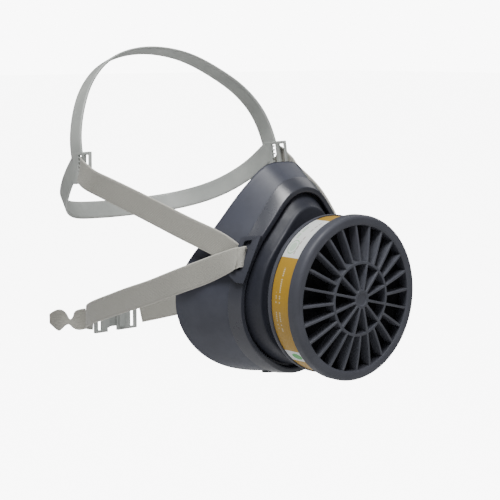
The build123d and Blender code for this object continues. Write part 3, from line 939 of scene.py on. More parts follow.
def settle(obj: Piece, finish: object, slot: str, body: str, *nodes: str) -> Piece:
    """Finish a piece: dress it, ride it on a body and let it stand for CAD nodes."""
    dress(obj, finish)
    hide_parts(*nodes)
    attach(obj, body)
    LOG.info("%s: %d faces on %s, stands for %s", obj.name, len(obj.data.polygons), body, ", ".join(nodes))
    return obj


def eased_copy(node: str, name: str, width: float, degrees: float = 35.0) -> Piece:
    """A copy of a CAD node with its loose triangles merged and its edges eased.

    Args:
        node: The CAD node.
        name: The copy's name.
        width: Width of the eased edges.
        degrees: Edges that turn more than this are eased.

    Returns:
        The copy.
    """
    source = bpy.data.objects[node]
    obj = bpy.data.objects.new(name, source.data.copy())
    bpy.context.collection.objects.link(obj)
    activate(obj)
    bpy.ops.mesh.customdata_custom_splitnormals_clear()
    bpy.ops.object.mode_set(mode="EDIT")
    bpy.ops.mesh.select_all(action="SELECT")
    bpy.ops.mesh.remove_doubles(threshold=2e-6)
    bpy.ops.mesh.dissolve_limited(angle_limit=math.radians(0.5))
    bpy.ops.object.mode_set(mode="OBJECT")
    return ease_edges(obj, width, degrees)


# ---------------------------------------------------------------- the mask


@dataclass
class Facepiece:
    """The rubber bowl from the clamped front flange to the seal on the face, with its chin valve seat."""

    wall: float = 2.5
    clamp_from: float = 4.0
    clamp_to: float = 6.5
    clamp_inset: float = 6.9
    flange_width: float = 9.0
    flange_thick: float = 1.8
    chin: Point3 = (0.0, -8.6, -48.2)
    chin_down: Point3 = (0.0, -0.155, -1.0)
    pad_radius: float = 9.6
    pad_high: float = 3.4
    pad_proud: float = 0.4
    cut_above: float = 9.0
    cut_below: float = 12.0
    cover_radius: float = 9.0
    hole_radius: float = 7.1
    clip_radius: float = 8.4
    outer_shares: tuple[float, ...] = (0, 0.1, 0.22, 0.36, 0.5, 0.64, 0.78, 0.89, 0.96)
    inner_shares: tuple[float, ...] = (0.86, 0.7, 0.5, 0.3, 0.16)

    def shell(self) -> Piece:
        """The bowl as one closed wall with a rounded rim."""
        start = self.clamp_from
        rings = [FORM.flank_ring(share, 0, start) for share in self.outer_shares]
        rings += [FORM.seal_ring(0.05, 0.6), FORM.seal_ring(0.4, 0.16), FORM.seal_ring(1.0, 0)]
        rings += [FORM.seal_ring(inset, 0) for inset in (3, 5, 7, 8.3)]
        width, thick = self.flange_width, self.flange_thick
        rings += [FORM.seal_ring(width - 0.2, 0.25), FORM.seal_ring(width, 0.8)]
        rings += [FORM.seal_ring(width - 0.2, 1.4), FORM.seal_ring(width - 0.9, thick)]
        rings += [FORM.seal_ring(5.5, thick + 0.3)]
        rings += [FORM.flank_ring(share, self.wall, start) for share in self.inner_shares]
        rings += [FORM.lip_ring(self.clamp_to, self.wall), FORM.lip_ring(self.clamp_to, self.clamp_inset)]
        rings += [FORM.lip_ring(start, self.clamp_inset), rings[0]]
        return loft("facepiece_bowl", rings)

    def disc(self, radius: float, low: float, high: float) -> Piece:
        """A disc on the chin valve's axis between two heights below its seat."""
        deselect()
        bpy.ops.mesh.primitive_cylinder_add(vertices=64, radius=radius * MM, depth=(high - low) * MM)
        obj = bpy.context.object
        place = frame_at(self.chin, (1, 0, 0), self.chin_down)
        way = Vector(self.chin_down).normalized()
        place.translation = (Vector(self.chin) + way * (low + high) / 2) * MM
        obj.data.transform(place)
        return obj

    def build(self) -> None:
        """Make the facepiece."""
        bowl = self.shell()
        fuse(bowl, self.disc(self.pad_radius, -self.pad_high, self.pad_proud))
        cut(bowl, self.disc(self.cover_radius, 0, self.cut_below))
        cut(bowl, self.disc(self.hole_radius, -self.cut_above, self.cut_below))
        cut(bowl, self.disc(self.clip_radius, -self.cut_above, -self.pad_high))
        outward(bowl)
        smooth(bowl, 40)
        settle(bowl, FACE_RUBBER, "facepiece_rubber", "mask", "facepiece")


@dataclass
class Ear:
    """The slotted strap ear on the yoke, drawn on a plane by the cheek."""

    at: Point3 = (-41.4, -28.0, 20.0)
    backward: Point3 = (-0.55, 1.0, 0.0)
    outward: Point3 = (-1.0, -0.55, 0.42)
    plate: float = 1.6
    root: float = 6.0
    outline: tuple[Point3, ...] = (
        (-8, -14.4, 0.5), (2.3, -13.3, 1.6), (3.9, -12, 1.2), (4.6, -8.2, 1.5), (8.4, 8.7, 1.2),
        (3.4, 12.9, 1.0), (-1, 12.9, 0.5))
    slot: tuple[Point3, ...] = ((-3.3, -11.8, 0.4), (1.1, -11.0, 0.6), (6.1, 5.2, 0.6),
                                                    (1.9, 5.9, 0.6))
    strip: tuple[Point2, ...] = ((-8, -14.4), (-4.5, -14), (-3, -8.6), (1.3, 5.9), (3.4, 12.9), (-1, 12.9))
    web: tuple[Point2, ...] = ((-8, -14.4), (2.3, -13.3), (3.9, -12), (3.3, -11), (-7.2, -12.6))

    def place(self) -> Matrix:
        """The ear's plane: x backward, y down, z outward."""
        return frame_at(self.at, self.backward, self.outward)

    def point(self, backward: float, down: float, out: float) -> Vector:
        """A point of the model from a place on the ear's plane."""
        return self.place() @ Vector((backward, down, out))

    def bar_way(self) -> Vector:
        """The direction along the slot's rear bar."""
        return (self.point(6.1, 5.2, 0) - self.point(1.9, -9.3, 0)).normalized()

    def prism(self, points: Sequence[Point2], top: float, bottom: float) -> Piece:
        """A prism of points on the ear's plane between two heights."""
        rings = [[self.point(x, y, level) for x, y in points] for level in (bottom, top)]
        return loft("ear_prism", rings)


@dataclass
class Yoke:
    """The glossy clamping band round the facepiece's front, its turned-in lip and its two ears."""

    ear: Ear
    proud: float = 1.2
    depth: float = 8.0
    shelf: float = 4.0
    mouth: float = 2.0
    mouth_rear: float = 3.4

    def band(self) -> Piece:
        """The band with its rounded lip and rear edge."""
        section = fillet([(0, -self.proud, 0.45), (self.depth, -self.proud, 0.5), (self.depth, 0, 0),
                          (self.shelf, 0, 0), (self.shelf, self.mouth_rear, 0.3), (0, self.mouth, 1.2)], 5)
        rings = [FORM.lip_ring(depth, inset) for depth, inset in section]
        return loft("yoke_band", rings + [rings[0]])

    def core(self) -> Piece:
        """The space inside the band, that an ear's root must not fill."""
        steps = ((-3, 1.2), (self.shelf, 3.0), (self.shelf, 0.3), (40, 0.3))
        return loft("yoke_core", [FORM.lip_ring(depth, inset) for depth, inset in steps])

    def one_ear(self) -> Piece:
        """The right ear with its slot and its root in the band."""
        plate = self.ear.prism(fillet(self.ear.outline, 4), 0, -self.ear.plate)
        cut(plate, self.ear.prism(fillet(self.ear.slot, 3), 2, -4))
        for points in (self.ear.strip, self.ear.web):
            fuse(plate, self.ear.prism(points, -0.02, -self.ear.root))
        cut(plate, self.core())
        outward(plate)
        return ease_edges(plate, 0.55, 40, 3)

    def build(self) -> None:
        """Make the band with both ears."""
        right = self.one_ear()
        left = mirrored(right, "ear_left")
        yoke = join("yoke_band", [smooth(self.band(), 40), right, left])
        settle(yoke, YOKE_RUBBER, "frame_rubber", "mask", "yoke_frame")


@dataclass
class Cowl:
    """The stiff cowl inside the yoke, whose boss carries the canister's socket."""

    boss_y: float = -37.5
    face: float = 2.5
    hole_radius: float = 27.05
    flank_inset: float = 4.3
    tube_outer: float = 7.0
    tube_inner: float = 8.7
    clamp_inset: float = 3.7
    clamp_from: float = 6.7
    back: float = 9.2

    def boss_ring(self, inset: float, y: float) -> list[Vector]:
        """The boss's outline moved inwards, at a station."""
        points = zip(FORM.boss.points(), FORM.boss.outward_ways())
        return [p - way * inset + Vector((0, y, 0)) for p, way in points]

    def hole_ring(self, y: float) -> list[Vector]:
        """The socket's hole, each point on the ray of its boss point."""
        ring = []
        for point in FORM.boss.points():
            way = Vector((point.x, 0, point.z)).normalized()
            ring.append(way * self.hole_radius + Vector((0, y, 0)))
        return ring

    def build(self) -> None:
        """Make the cowl."""
        foot = FORM.lip_ring(4.0, self.flank_inset)
        brow = self.boss_ring(0.0, self.boss_y + 1.5)
        flank = [[a.lerp(b, share) for a, b in zip(foot, brow)] for share in (0.0, 0.3, 0.6, 0.85, 1.0)]
        edge = [self.boss_ring(0.25, self.boss_y + 0.6), self.boss_ring(0.8, self.boss_y + 0.14)]
        inner_y = self.boss_y + self.face
        rings = [FORM.lip_ring(self.back, self.clamp_inset), FORM.lip_ring(self.clamp_from, self.clamp_inset),
                 FORM.lip_ring(self.clamp_from, self.tube_outer), FORM.lip_ring(4.3, self.tube_outer),
                 *flank, *edge, self.boss_ring(1.7, self.boss_y), self.hole_ring(self.boss_y),
                 self.hole_ring(inner_y), self.boss_ring(2.8, inner_y), FORM.lip_ring(4.0, self.tube_inner),
                 FORM.lip_ring(self.back, self.tube_inner)]
        cowl = smooth(loft("front_cowl_shell", rings + [rings[0]]), 40)
        settle(cowl, COWL_PLASTIC, "cowl_plastic", "mask", "front_cowl")


class InnerFittings:
    """The socket, the two valves and the gasket, whose CAD shapes are kept with eased edges."""

    PIECES = (
        ("canister_socket", "threaded_socket", 0.2, COWL_PLASTIC, "cowl_plastic", "mask"),
        ("inhalation_valve_seat", "inhalation_seat", 0.15, COWL_PLASTIC, "cowl_plastic", "mask"),
        ("inhalation_valve_flap", "inhalation_disc", 0.12, SILICONE, "silicone", "inhalation_flap"),
        ("exhalation_valve_seat", "exhalation_seat", 0.12, COWL_PLASTIC, "cowl_plastic", "mask"),
        ("exhalation_valve_flap", "exhalation_disc", 0.1, SILICONE, "silicone", "exhalation_flap"),
        ("exhalation_valve_cover", "exhalation_cover", 0.3, COWL_PLASTIC, "cowl_plastic", "exhalation_cover"),
        ("canister_gasket", "sealing_ring", 0.5, SEAL_RUBBER, "seal_rubber", "canister_carriage"),
        ("canister_neck", "threaded_neck", 0.15, CANISTER_PLASTIC, "canister_plastic", "canister"),
        ("front_sieve", "front_sieve_disc", 0.1, SIEVE_SHEET, "sieve_metal", "canister"),
        ("rear_sieve", "rear_sieve_disc", 0.1, SIEVE_SHEET, "sieve_metal", "canister"),
    )

    def build(self) -> None:
        """Make each fitting from its CAD node."""
        for node, name, width, finish, slot, body in self.PIECES:
            settle(eased_copy(node, name, width), finish, slot, body, node)


@dataclass
class Canister:
    """The screw-in gas canister: shell, label, bezel with its grille, and the filter beds inside."""

    front: float = -75.0
    rim_radius: float = 46.0
    rim_rear: float = -68.3
    body_radius: float = 43.3
    bore_radius: float = 41.5
    label_radius: float = 43.7
    label_from: float = -67.4
    label_to: float = -53.2
    ring_radius: float = 44.5
    ring_rear: float = -51.0
    shoulder: float = -41.0
    neck_radius: float = 22.4
    grille_radius: float = 40.3
    grille_front: float = -74.2
    grille_depth: float = 5.9
    dome: float = 4.5
    spoke: float = 1.4
    outer_spokes: int = 24
    inner_spokes: int = 12
    phase: float = -1.0
    inner_phase: float = 14.0
    middle_radius: float = 20.8
    middle_wall: float = 1.6
    hub_radius: float = 5.35
    pack_radius: float = 41.2
    felt_span: Point2 = (-68.1, -65.6)
    dust_span: Point2 = (-53.8, -52.2)
    charcoal_span: Point2 = (-64.6, -54.8)
    bed_rows: int = 40

    def shell(self) -> Piece:
        """The body with its rear ring and sloping shoulder."""
        rear, shoulder, neck = self.ring_rear, self.shoulder, self.neck_radius
        return turn("canister_body", fillet([
            (self.bore_radius, self.front + 2, 0), (self.body_radius, self.front + 2, 0),
            (self.body_radius, self.label_to + 0.2, 0.2), (self.ring_radius, self.label_to + 0.2, 0.4),
            (self.ring_radius, rear, 0.7), (43.6, rear + 1.2, 1.0), (39.5, rear + 2.8, 3.0),
            (25, shoulder - 0.2, 0.4), (24.6, shoulder, 0.2), (neck, shoulder, 0), (neck, shoulder - 1, 0),
            (38.5, rear + 0.6, 2.0), (self.bore_radius, rear - 1, 1.0)]))

    def label(self) -> Piece:
        """The wrapped label, a thin sleeve with soft edges."""
        outer, inner = self.label_radius, self.body_radius + 0.02
        return turn("canister_wrap", fillet([
            (inner, self.label_from, 0), (outer, self.label_from, 0.25), (outer, self.label_to, 0.25),
            (inner, self.label_to, 0)], 3), 240)

    def bezel(self) -> Piece:
        """The front bezel with its rolled outer edge and stepped mouth."""
        front, rear = self.front, self.rim_rear
        bore, grille = self.bore_radius - 0.1, self.grille_radius
        return turn("bezel", fillet([
            (grille, front + 0.7, 0.3), (grille + 1.0, front, 0.5), (self.rim_radius - 1.4, front, 0.8),
            (self.rim_radius, front + 1.5, 1.2), (self.rim_radius, rear, 0.5),
            (self.body_radius + 0.05, rear, 0.2), (self.body_radius + 0.05, front + 1.9, 0),
            (bore, front + 1.9, 0), (bore, rear, 0),
            (grille, rear, 0.2)], 4), 192)

    def hoop(self, name: str, inner: float, outer: float) -> Piece:
        """A ring of the grille with eased front edges."""
        front, rear = self.grille_front, self.grille_front + self.grille_depth
        corners = [(inner, front, 0.4), (outer, front, 0.4), (outer, rear, 0), (inner, rear, 0)]
        return turn(name, fillet(corners, 3), 96)

    def hub(self) -> Piece:
        """The dished hub, closed on its axis."""
        front, rear = self.grille_front, self.grille_front + self.grille_depth
        return turn("hub", [(0, front + 0.7)] + fillet([
            (1.6, front + 0.7, 0), (3.3, front + 0.5, 0.4), (3.7, front, 0.3), (self.hub_radius, front, 0.7),
            (self.hub_radius, rear, 0.0)], 4) + [(0, rear)], 96)

    def blade(self, inner: float, outer: float) -> Piece:
        """One spoke with a rounded front edge, lying along +X."""
        middle = self.grille_front + self.grille_depth / 2
        place = Matrix.Translation(((inner + outer) / 2, middle, 0))
        obj = block("blade", Vector((outer - inner, self.grille_depth, self.spoke)), place)
        activate(obj)
        bpy.ops.object.mode_set(mode="EDIT")
        mesh = bmesh.from_edit_mesh(obj.data)
        for edge in mesh.edges:
            spots = [v.co.y / MM for v in edge.verts]
            edge.select = max(spots) < self.grille_front + 0.01 and abs(spots[0] - spots[1]) < 0.01 \
                and abs(edge.verts[0].co.x - edge.verts[1].co.x) > MM
        bmesh.update_edit_mesh(obj.data)
        bpy.ops.mesh.select_mode(type="EDGE")
        bpy.ops.mesh.bevel(offset=0.25 * MM, segments=2)
        bpy.ops.mesh.select_mode(type="VERT")
        for share in (0.2, 0.4, 0.6, 0.8):
            bpy.ops.mesh.select_all(action="SELECT")
            bpy.ops.mesh.bisect(plane_co=((inner + (outer - inner) * share) * MM, 0, 0), plane_no=(1, 0, 0))
        bpy.ops.object.mode_set(mode="OBJECT")
        return smooth(obj, 50)

    def domed(self, obj: Piece) -> Piece:
        """Push a flat grille forward into its shallow dome."""
        ball = (self.grille_radius ** 2 + self.dome ** 2) / (2 * self.dome)
        for vert in obj.data.vertices:
            radius = min(math.hypot(vert.co.x, vert.co.z) / MM, self.grille_radius)
            vert.co.y -= (math.sqrt(ball ** 2 - radius ** 2) - ball + self.dome) * MM
        return obj

    def spokes(self) -> list[Piece]:
        """Every spoke of the two rings, each with its own mesh."""
        middle_inner = self.middle_radius - self.middle_wall
        rings = ((self.outer_spokes, self.phase, self.middle_radius - 0.4, self.grille_radius + 0.4),
                 (self.inner_spokes, self.inner_phase, self.hub_radius - 0.5, middle_inner + 0.4))
        spokes = []
        for count, phase, inner, outer in rings:
            first = self.blade(inner, outer)
            start = math.radians(phase)
            spokes += [turned_copy(first, start + 2 * math.pi * k / count) for k in range(count)]
            bpy.data.objects.remove(first)
        return spokes

    def bed(self, name: str, radius: float, span: Point2, lump: float, high: float) -> Piece:
        """A disc of felt or granules whose faces are uneven.

        Args:
            name: The object's name.
            radius: Its radius.
            span: Its front and rear stations.
            lump: Width of its lumps.
            high: Height of its lumps.

        Returns:
            The mesh object.
        """
        front, rear = span
        rows = [radius * k / self.bed_rows for k in range(self.bed_rows, 0, -1)]
        profile = [(0, front + high)] + [(r, front + high) for r in reversed(rows[1:])]
        profile += [(radius - 0.4, front + high)]
        profile += [(radius, front + high + 0.4), (radius, rear - high - 0.4), (radius - 0.4, rear - high)]
        profile += [(r, rear - high) for r in rows[1:]] + [(0, rear - high)]
        obj = turn(name, profile, 160)
        for vert in obj.data.vertices:
            place = vert.co / MM
            if math.hypot(place.x, place.z) < radius - 0.2:
                way = -1 if place.y < (front + rear) / 2 else 1
                vert.co.y += way * high * MM * noise.noise(place / lump)
        return smooth(obj, 60)

    def build(self) -> None:
        """Make the canister's pieces."""
        settle(self.shell(), CANISTER_PLASTIC, "canister_plastic", "canister", "canister_shell")
        settle(self.label(), LABEL_PRINT, "label_paper", "canister", "canister_label")
        hoop = self.hoop("middle_hoop", self.middle_radius - self.middle_wall, self.middle_radius)
        grille = self.domed(join("domed_grille", [hoop, self.hub(), *self.spokes()]))
        cap = join("grille_bezel", [self.bezel(), grille])
        settle(cap, CANISTER_PLASTIC, "canister_plastic", "canister", "grille_cap")
        felt = self.bed("prefilter_disc", self.pack_radius, self.felt_span, 1.5, 0.18)
        settle(felt, PREFILTER_FELT, "filter_felt", "canister", "prefilter_pad")
        dust = self.bed("rear_dust_disc", self.pack_radius - 0.6, self.dust_span, 1.5, 0.12)
        settle(dust, DUST_FELT, "filter_felt", "canister", "rear_dust_pad")
        grains = self.bed("charcoal_bed", self.pack_radius, self.charcoal_span, 1.2, 0.35)
        settle(grains, CHARCOAL, "charcoal", "canister", "carbon_bed")


# ---------------------------------------------------------------- the harness


@dataclass
class Ribbon:
    """A flat band through points, lying square to normals, with rounded edges."""

    points: Sequence[Sequence[float]]
    normals: Sequence[Sequence[float]]
    widths: Sequence[float]
    thick: float
    per_span: int = 10
    columns: int = 10
    slant: Vector | None = None
    slant_run: float = 12.0

    def section(self, width: float) -> list[Point2]:
        """The band's section as (across, out) points, from one edge over the outside and back."""
        flat = width / 2 - self.thick / 2
        half = self.thick / 2
        over = [(-flat + 2 * flat * k / self.columns, half) for k in range(self.columns + 1)]
        eighths = (math.pi / 4, math.pi / 2, 3 * math.pi / 4)
        turn_round = [(flat + half * math.sin(t), half * math.cos(t)) for t in eighths]
        under = [(-a, -b) for a, b in over]
        back = [(-a, -b) for a, b in turn_round]
        return over + turn_round + under + back

    def slanted(self, across: Vector, out: Vector, share: float) -> Vector:
        """The band's across direction turned towards the slant, longer so that the band keeps its width."""
        slant = (self.slant - out * self.slant.dot(out)).normalized()
        if slant.dot(across) < 0:
            slant = -slant
        mixed = across.lerp(slant, max(0.0, share)).normalized()
        return mixed / max(0.6, mixed.dot(across))

    def build(self, name: str) -> Piece:
        """Make the band; the attributes along and across lie on it in metres."""
        knots = len(self.points)
        widths = list(self.widths) + [self.widths[-1]] * (knots - len(self.widths))
        ways = [Vector(n).normalized()[:] for n in self.normals]
        rows = np.hstack([np.array(self.points, float), np.array(ways), np.array(widths)[:, None]])
        samples = spline_through(rows, self.per_span, False)
        rings, lengths, run = [], [], 0.0
        for index, row in enumerate(samples):
            here = Vector(row[:3])
            ahead = Vector(samples[min(index + 1, len(samples) - 1)][:3])
            behind = Vector(samples[max(index - 1, 0)][:3])
            along = (ahead - behind).normalized()
            across = along.cross(Vector(row[3:6])).normalized()
            out = across.cross(along)
            run += (here - Vector(samples[index - 1][:3])).length if index else 0.0
            if self.slant is not None and run < self.slant_run:
                share = min(1.0, 1.4 - 1.4 * run / self.slant_run)
                across = self.slanted(across, out, share * share * (3 - 2 * share))
            rings.append([here + across * a + out * b for a, b in self.section(row[6])])
            lengths.append(run)
        return smooth(loft(name, rings, lengths, [a for a, _ in self.section(widths[-1])]), 50)


@dataclass
class Straps:
    """The four elastic straps and the free end behind the neck."""

    ear: Ear
    thick: float = 0.95
    width: float = 14.0
    ear_widths: tuple[float, ...] = (11.5, 12.0, 12.8)
    upper: tuple[Point3, ...] = (
        (-47.2, -11.4, 28.2), (-55.4, 3.4, 35.2), (-65.6, 27, 45.6), (-73.2, 52, 54.8), (-77.2, 62, 58.8))
    upper_ways: tuple[Point3, ...] = (
        (-1, -0.42, 0.2), (-1, -0.42, 0.1), (-1, -0.3, 0.05), (-1, -0.12, 0.05), (-1, -0.05, 0.05))
    buckle_run: tuple[Point3, ...] = (
        (-78.9, 67, 61.2), (-79.1, 71.2, 63.4), (-78.6, 74.8, 65.4), (-76.8, 76.7, 66.6))
    buckle_ways: tuple[Point3, ...] = (
        (-1, -0.2, 0.05), (-1, -0.1, 0.05), (-1, 0.2, 0.05), (-1, 0.9, 0.05))
    lower: tuple[Point3, ...] = (
        (-51.8, -6.4, 12.4), (-59, 9, 5.6), (-61.5, 31, -2.9), (-61, 52, -9.6), (-58.5, 76, -17.4),
        (-54.5, 96, -23.6), (-47, 115, -29.5), (-36.5, 131, -34.4), (-28, 141, -37.6), (-19.2, 148.4, -40))
    lower_ways: tuple[Point3, ...] = (
        (-1, -0.5, 0.1), (-1, -0.2, 0), (-1, 0, 0), (-1, 0.08, 0), (-1, 0.2, 0), (-1, 0.35, 0),
        (-0.8, 0.55, 0), (-0.7, 0.75, 0), (-0.6, 0.8, 0), (-0.45, 0.9, 0))
    slot_start: tuple[Point3, ...] = ((3.0, -2.2, -2.1), (4.8, -2.6, -2.55), (7.4, -3.4, -2.55))
    bar_fold: tuple[Point3, ...] = ((2.6, -1.6, -1.95), (1.0, -1.7, -1.5), (0.45, -1.7, -0.3),
                                    (1.2, -1.5, 0.85), (3.4, -0.8, 1.25), (8.2, 1.0, 1.25))
    fold_widths: tuple[float, ...] = (11.5, 11.5, 11.5, 11.5, 12.0, 12.8)
    end_points: tuple[Point3, ...] = (
        (-23.0, 149.8, -39.2), (-25.6, 153.4, -40.2), (-28.2, 156.9, -41.6), (-30.2, 159.6, -42.0),
        (-32.2, 162.5, -41.6), (-35.0, 166.4, -41.0), (-38.2, 170.9, -40.4))
    end_ways: tuple[Point3, ...] = (
        (-0.8, -0.6, 0), (-0.8, -0.6, 0.1), (-0.7, -0.5, 0.5), (-0.5, -0.4, 0.8), (-0.7, -0.5, 0.4),
        (-0.8, -0.6, -0.15), (-0.8, -0.6, -0.3))
    end_widths: tuple[float, ...] = (13.5, 13.5, 11.0, 4.5, 10.5, 14.5, 7.0)

    def upper_band(self) -> Ribbon:
        """The right upper strap, from inside the ear's slot to the cradle's buckle."""
        start = [self.ear.point(*p) for p in self.slot_start]
        ways = [self.ear.outward] * len(start) + list(self.upper_ways) + list(self.buckle_ways)
        return Ribbon([*start, *self.upper, *self.buckle_run], ways, [*self.ear_widths, self.width],
                      self.thick, slant=self.ear.bar_way(), slant_run=7.0)

    def lower_band(self) -> Ribbon:
        """The right lower strap, over the ear's rear bar and round the jaw to the clasp."""
        start = [self.ear.point(*p) for p in self.bar_fold]
        out, back = Vector(self.ear.outward).normalized(), Vector(self.ear.backward).normalized()
        turns = [-out, -out * 0.6 - back, -back, out - back * 0.5, out, out]
        return Ribbon([*start, *self.lower], [*turns, *self.lower_ways], [*self.fold_widths, self.width],
                      self.thick, slant=self.ear.bar_way(), slant_run=14.0)

    def tail(self) -> Ribbon:
        """The free end beyond the clasp, pinched and then flared."""
        return Ribbon(self.end_points, self.end_ways, self.end_widths, self.thick, per_span=12)

    def build(self) -> None:
        """Make the straps and declare how each crosses its joint."""
        for side in Side:
            bands = (("upper", self.upper_band(), "cradle"), ("lower", self.lower_band(), "clasp_hook"))
            for word, band, body in bands:
                strap = band.build(f"{word}_elastic_{Side.RIGHT.word}")
                if side is Side.LEFT:
                    right = strap
                    strap = mirrored(right, f"{word}_elastic_{side.word}")
                    bpy.data.objects.remove(right)
                dress(strap, STRAP_ELASTIC)
                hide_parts(f"{word}_strap_{side.word}")
                if word == "lower" and side is Side.LEFT:
                    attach(strap, "mask")
                else:
                    first, last = band.points[2], band.points[-2]
                    ends = [Vector((p[0] * -side.value, *p[1:])) * MM for p in (first, last)]
                    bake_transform(strap, "mask", body, start=ends[0], end=ends[1])
                LOG.info("%s: %d faces", strap.name, len(strap.data.polygons))
        free_end = self.tail().build("strap_free_end")
        settle(free_end, STRAP_ELASTIC, "strap_elastic", "clasp_hook", "strap_tail")


@dataclass
class Cradle:
    """The moulded crown band and nape band with the slotted buckle above each ear."""

    centre: Point3 = (0, 70, 62)
    axes: Point3 = (77, 92, 72)
    width: float = 12.5
    thick: float = 1.6
    crown: tuple[Point3, ...] = (
        (-75.9, 81.6, 73), (-74.8, 84.4, 82), (-71.8, 87.6, 92), (-66.8, 91.6, 101.5), (-59.6, 96.8, 110.5),
        (-50.2, 102.5, 118.4), (-39.4, 107.2, 125.2), (-27, 110.2, 130.4), (-13.6, 112.2, 133.4),
        (0, 112.8, 134.4))
    nape: tuple[Point3, ...] = (
        (-75.9, 82.4, 69.4), (-73, 95, 58.6), (-67.6, 107.5, 49.5), (-59.4, 120.5, 42), (-48, 133, 36.6),
        (-33.8, 143.6, 33.2), (-17.4, 150.4, 31.6), (0, 152.6, 31))
    buckle_at: Point3 = (-76.6, 75.6, 66.6)
    buckle_top: Point3 = (-76.2, 76.6, 76.6)
    buckle_size: Point3 = (18.5, 18.5, 2.0)
    slot_high: float = 14.8
    window: Point2 = (5.6, 4.4)
    slot: Point2 = (-1.4, 3.4)
    teeth: int = 6

    def way(self, point: Sequence[float]) -> Vector:
        """Outward direction of the head at a point."""
        off = Vector(point) - Vector(self.centre)
        return Vector([c / a ** 2 for c, a in zip(off, self.axes)]).normalized()

    def band(self, name: str, half: Sequence[Point3]) -> Piece:
        """One band over the head, from half its points."""
        whole = list(half) + [(-x, y, z) for x, y, z in reversed(half[:-1])]
        return Ribbon(whole, [self.way(p) for p in whole], [self.width], self.thick, 8).build(name)

    def buckle(self) -> Piece:
        """The right buckle with its window and its toothed slot."""
        out = self.way(self.buckle_at)
        upward = (Vector(self.buckle_top) - Vector(self.buckle_at)).normalized()
        place = frame_at(self.buckle_at, upward.cross(out), out)
        forward = 1 if place.col[0].y < 0 else -1
        plate = block("buckle", Vector(self.buckle_size), place)
        for middle, wide in (self.window, self.slot):
            hole = place @ Matrix.Translation((middle * forward, 0, 0))
            cut(plate, block("hole", Vector((wide, self.slot_high, 8)), hole))
        teeth = []
        for k in range(self.teeth):
            high = (k - (self.teeth - 1) / 2) * self.slot_high / self.teeth
            spot = place @ Matrix.Translation((-2.6 * forward, high, 0))
            tooth = block("tooth", Vector((1.8, 1.0, self.buckle_size[2] - 0.2)), spot)
            teeth.append(ease_edges(tooth, 0.25))
        return join("buckle", [ease_edges(plate, 0.45, 35, 3), *teeth])

    def build(self) -> None:
        """Make the cradle as one piece."""
        right = self.buckle()
        left = mirrored(right, "buckle_left")
        cradle = join("head_cradle_moulding", [self.band("crown_band", self.crown),
                                               self.band("nape_band", self.nape), right, left])
        settle(cradle, CRADLE_PLASTIC, "cradle_plastic", "cradle", "head_cradle")


class Clasp:
    """The two halves of the clasp behind the neck."""

    HALVES = (("neck_clasp_loop", "clasp_loop", "mask"), ("neck_clasp_hook", "clasp_hook_half", "clasp_hook"))
    EDGE = 0.35

    def build(self) -> None:
        """Make both halves from their CAD nodes."""
        for node, name, body in self.HALVES:
            settle(eased_copy(node, name, self.EDGE), CLASP_PLASTIC, "clasp_plastic", body, node)


# ---------------------------------------------------------------- the studio


@dataclass(frozen=True)
class StudioFinish:
    """The pale matt paper of the floor."""

    name: str = "studio_paper"
    shade: Colour = (0.7, 0.7, 0.7)
    glow: float = 8.0

    def make(self) -> bpy.types.Material:
        """Build the material."""
        wiring, shader = new_material(self.name)
        place = wiring.add("ShaderNodeTexCoord").outputs["Object"]
        tone = wiring.noise(place, 0.004, 2.0)
        darker = tuple(c * 0.985 for c in self.shade)
        wiring.join(wiring.blend(tone, self.shade, darker), shader.inputs["Base Color"])
        wiring.join(wiring.spread(tone, 0.0, 1.0, 0.85, 0.95), shader.inputs["Roughness"])
        seen = wiring.add("ShaderNodeLightPath").outputs["Is Camera Ray"]
        wiring.join(wiring.math("MULTIPLY", seen, self.glow), shader.inputs["Emission Strength"])
        shader.inputs["Emission Color"].default_value = (1, 1, 1, 1)
        return wiring.material


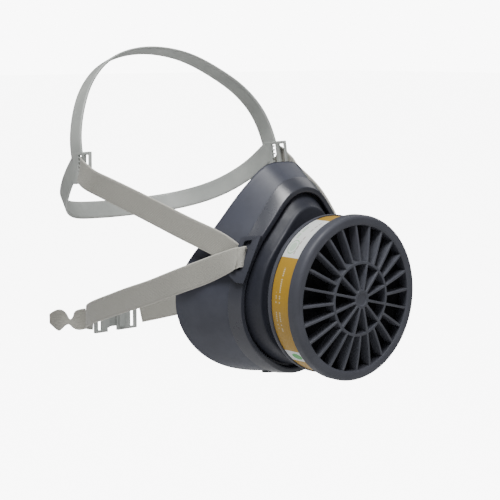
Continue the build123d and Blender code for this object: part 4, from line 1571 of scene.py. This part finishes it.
@dataclass
class Studio:
    """The floor, the soft lights and the camera; places in metres."""

    floor_z: float = -0.22
    camera_at: Point3 = (-0.578518, -0.646475, 0.137530)
    azimuth: float = -41.194
    elevation: float = 7.770
    lens: float = 108.0
    sensor_width: float = 36.0
    paper_size: float = 30.0
    look_at: Point3 = (-0.01, 0.03, 0.03)
    world: float = 0.2
    backdrop: float = 9.0
    lamps: tuple[tuple[str, Point3, float, float], ...] = (
        ("key", (-0.5, -0.45, 1.6), 0.7, 36.0),
        ("front", (0.5, -1.5, 0.7), 0.8, 2.5),
        ("strip", (-0.62, 0.4, 1.1), 0.12, 2.2),
        ("far", (1.2, 0.4, 0.9), 0.8, 3.0),
    )

    def camera(self) -> None:
        """Put the camera at the viewing angle."""
        data = bpy.data.cameras.new("camera")
        data.lens = self.lens
        data.sensor_width = self.sensor_width
        data.dof.use_dof = False
        camera = bpy.data.objects.new("camera", data)
        bpy.context.collection.objects.link(camera)
        turn_z, rise = math.radians(self.azimuth), math.radians(self.elevation)
        back = Vector((math.sin(turn_z) * math.cos(rise), -math.cos(turn_z) * math.cos(rise), math.sin(rise)))
        camera.location = self.camera_at
        camera.rotation_mode = "QUATERNION"
        camera.rotation_quaternion = (-back).to_track_quat("-Z", "Y")
        bpy.context.scene.camera = camera

    def light(self, name: str, place: Point3, size: float, power: float) -> None:
        """Hang one soft square lamp that looks at the mask."""
        data = bpy.data.lights.new(name, "AREA")
        data.size = size
        data.energy = power
        lamp = bpy.data.objects.new(name, data)
        bpy.context.collection.objects.link(lamp)
        lamp.location = place
        lamp.rotation_mode = "QUATERNION"
        lamp.rotation_quaternion = (Vector(self.look_at) - Vector(place)).to_track_quat("-Z", "Y")

    def floor(self) -> None:
        """Lay the flat paper well below the mask."""
        deselect()
        bpy.ops.mesh.primitive_plane_add(size=self.paper_size, location=(0, 0, self.floor_z))
        sheet = bpy.context.object
        sheet.name = "studio_floor"
        dress(sheet, StudioFinish())

    def build(self) -> None:
        """Set up the studio."""
        world = bpy.data.worlds.new("studio")
        bpy.context.scene.world = world
        world.use_nodes = True
        wiring = Wiring(world.node_tree)
        backdrop = world.node_tree.nodes["Background"]
        backdrop.inputs["Color"].default_value = (1, 1, 1, 1)
        seen = wiring.add("ShaderNodeLightPath").outputs["Is Camera Ray"]
        extra = wiring.math("MULTIPLY", seen, self.backdrop - self.world)
        wiring.join(wiring.math("ADD", extra, self.world), backdrop.inputs["Strength"])
        for lamp in self.lamps:
            self.light(*lamp)
        self.floor()
        self.camera()


def main() -> None:
    """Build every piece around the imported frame, in order."""
    logging.basicConfig(level=logging.INFO, format="%(name)s: %(message)s")
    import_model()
    Studio().build()
    ear = Ear()
    makers = (Facepiece(), Yoke(ear), Cowl(), InnerFittings(), Canister(), Straps(ear), Cradle(), Clasp())
    for maker in makers:
        LOG.info("building %s", type(maker).__name__)
        maker.build()
    deselect()


if __name__ == "__main__":
    main()
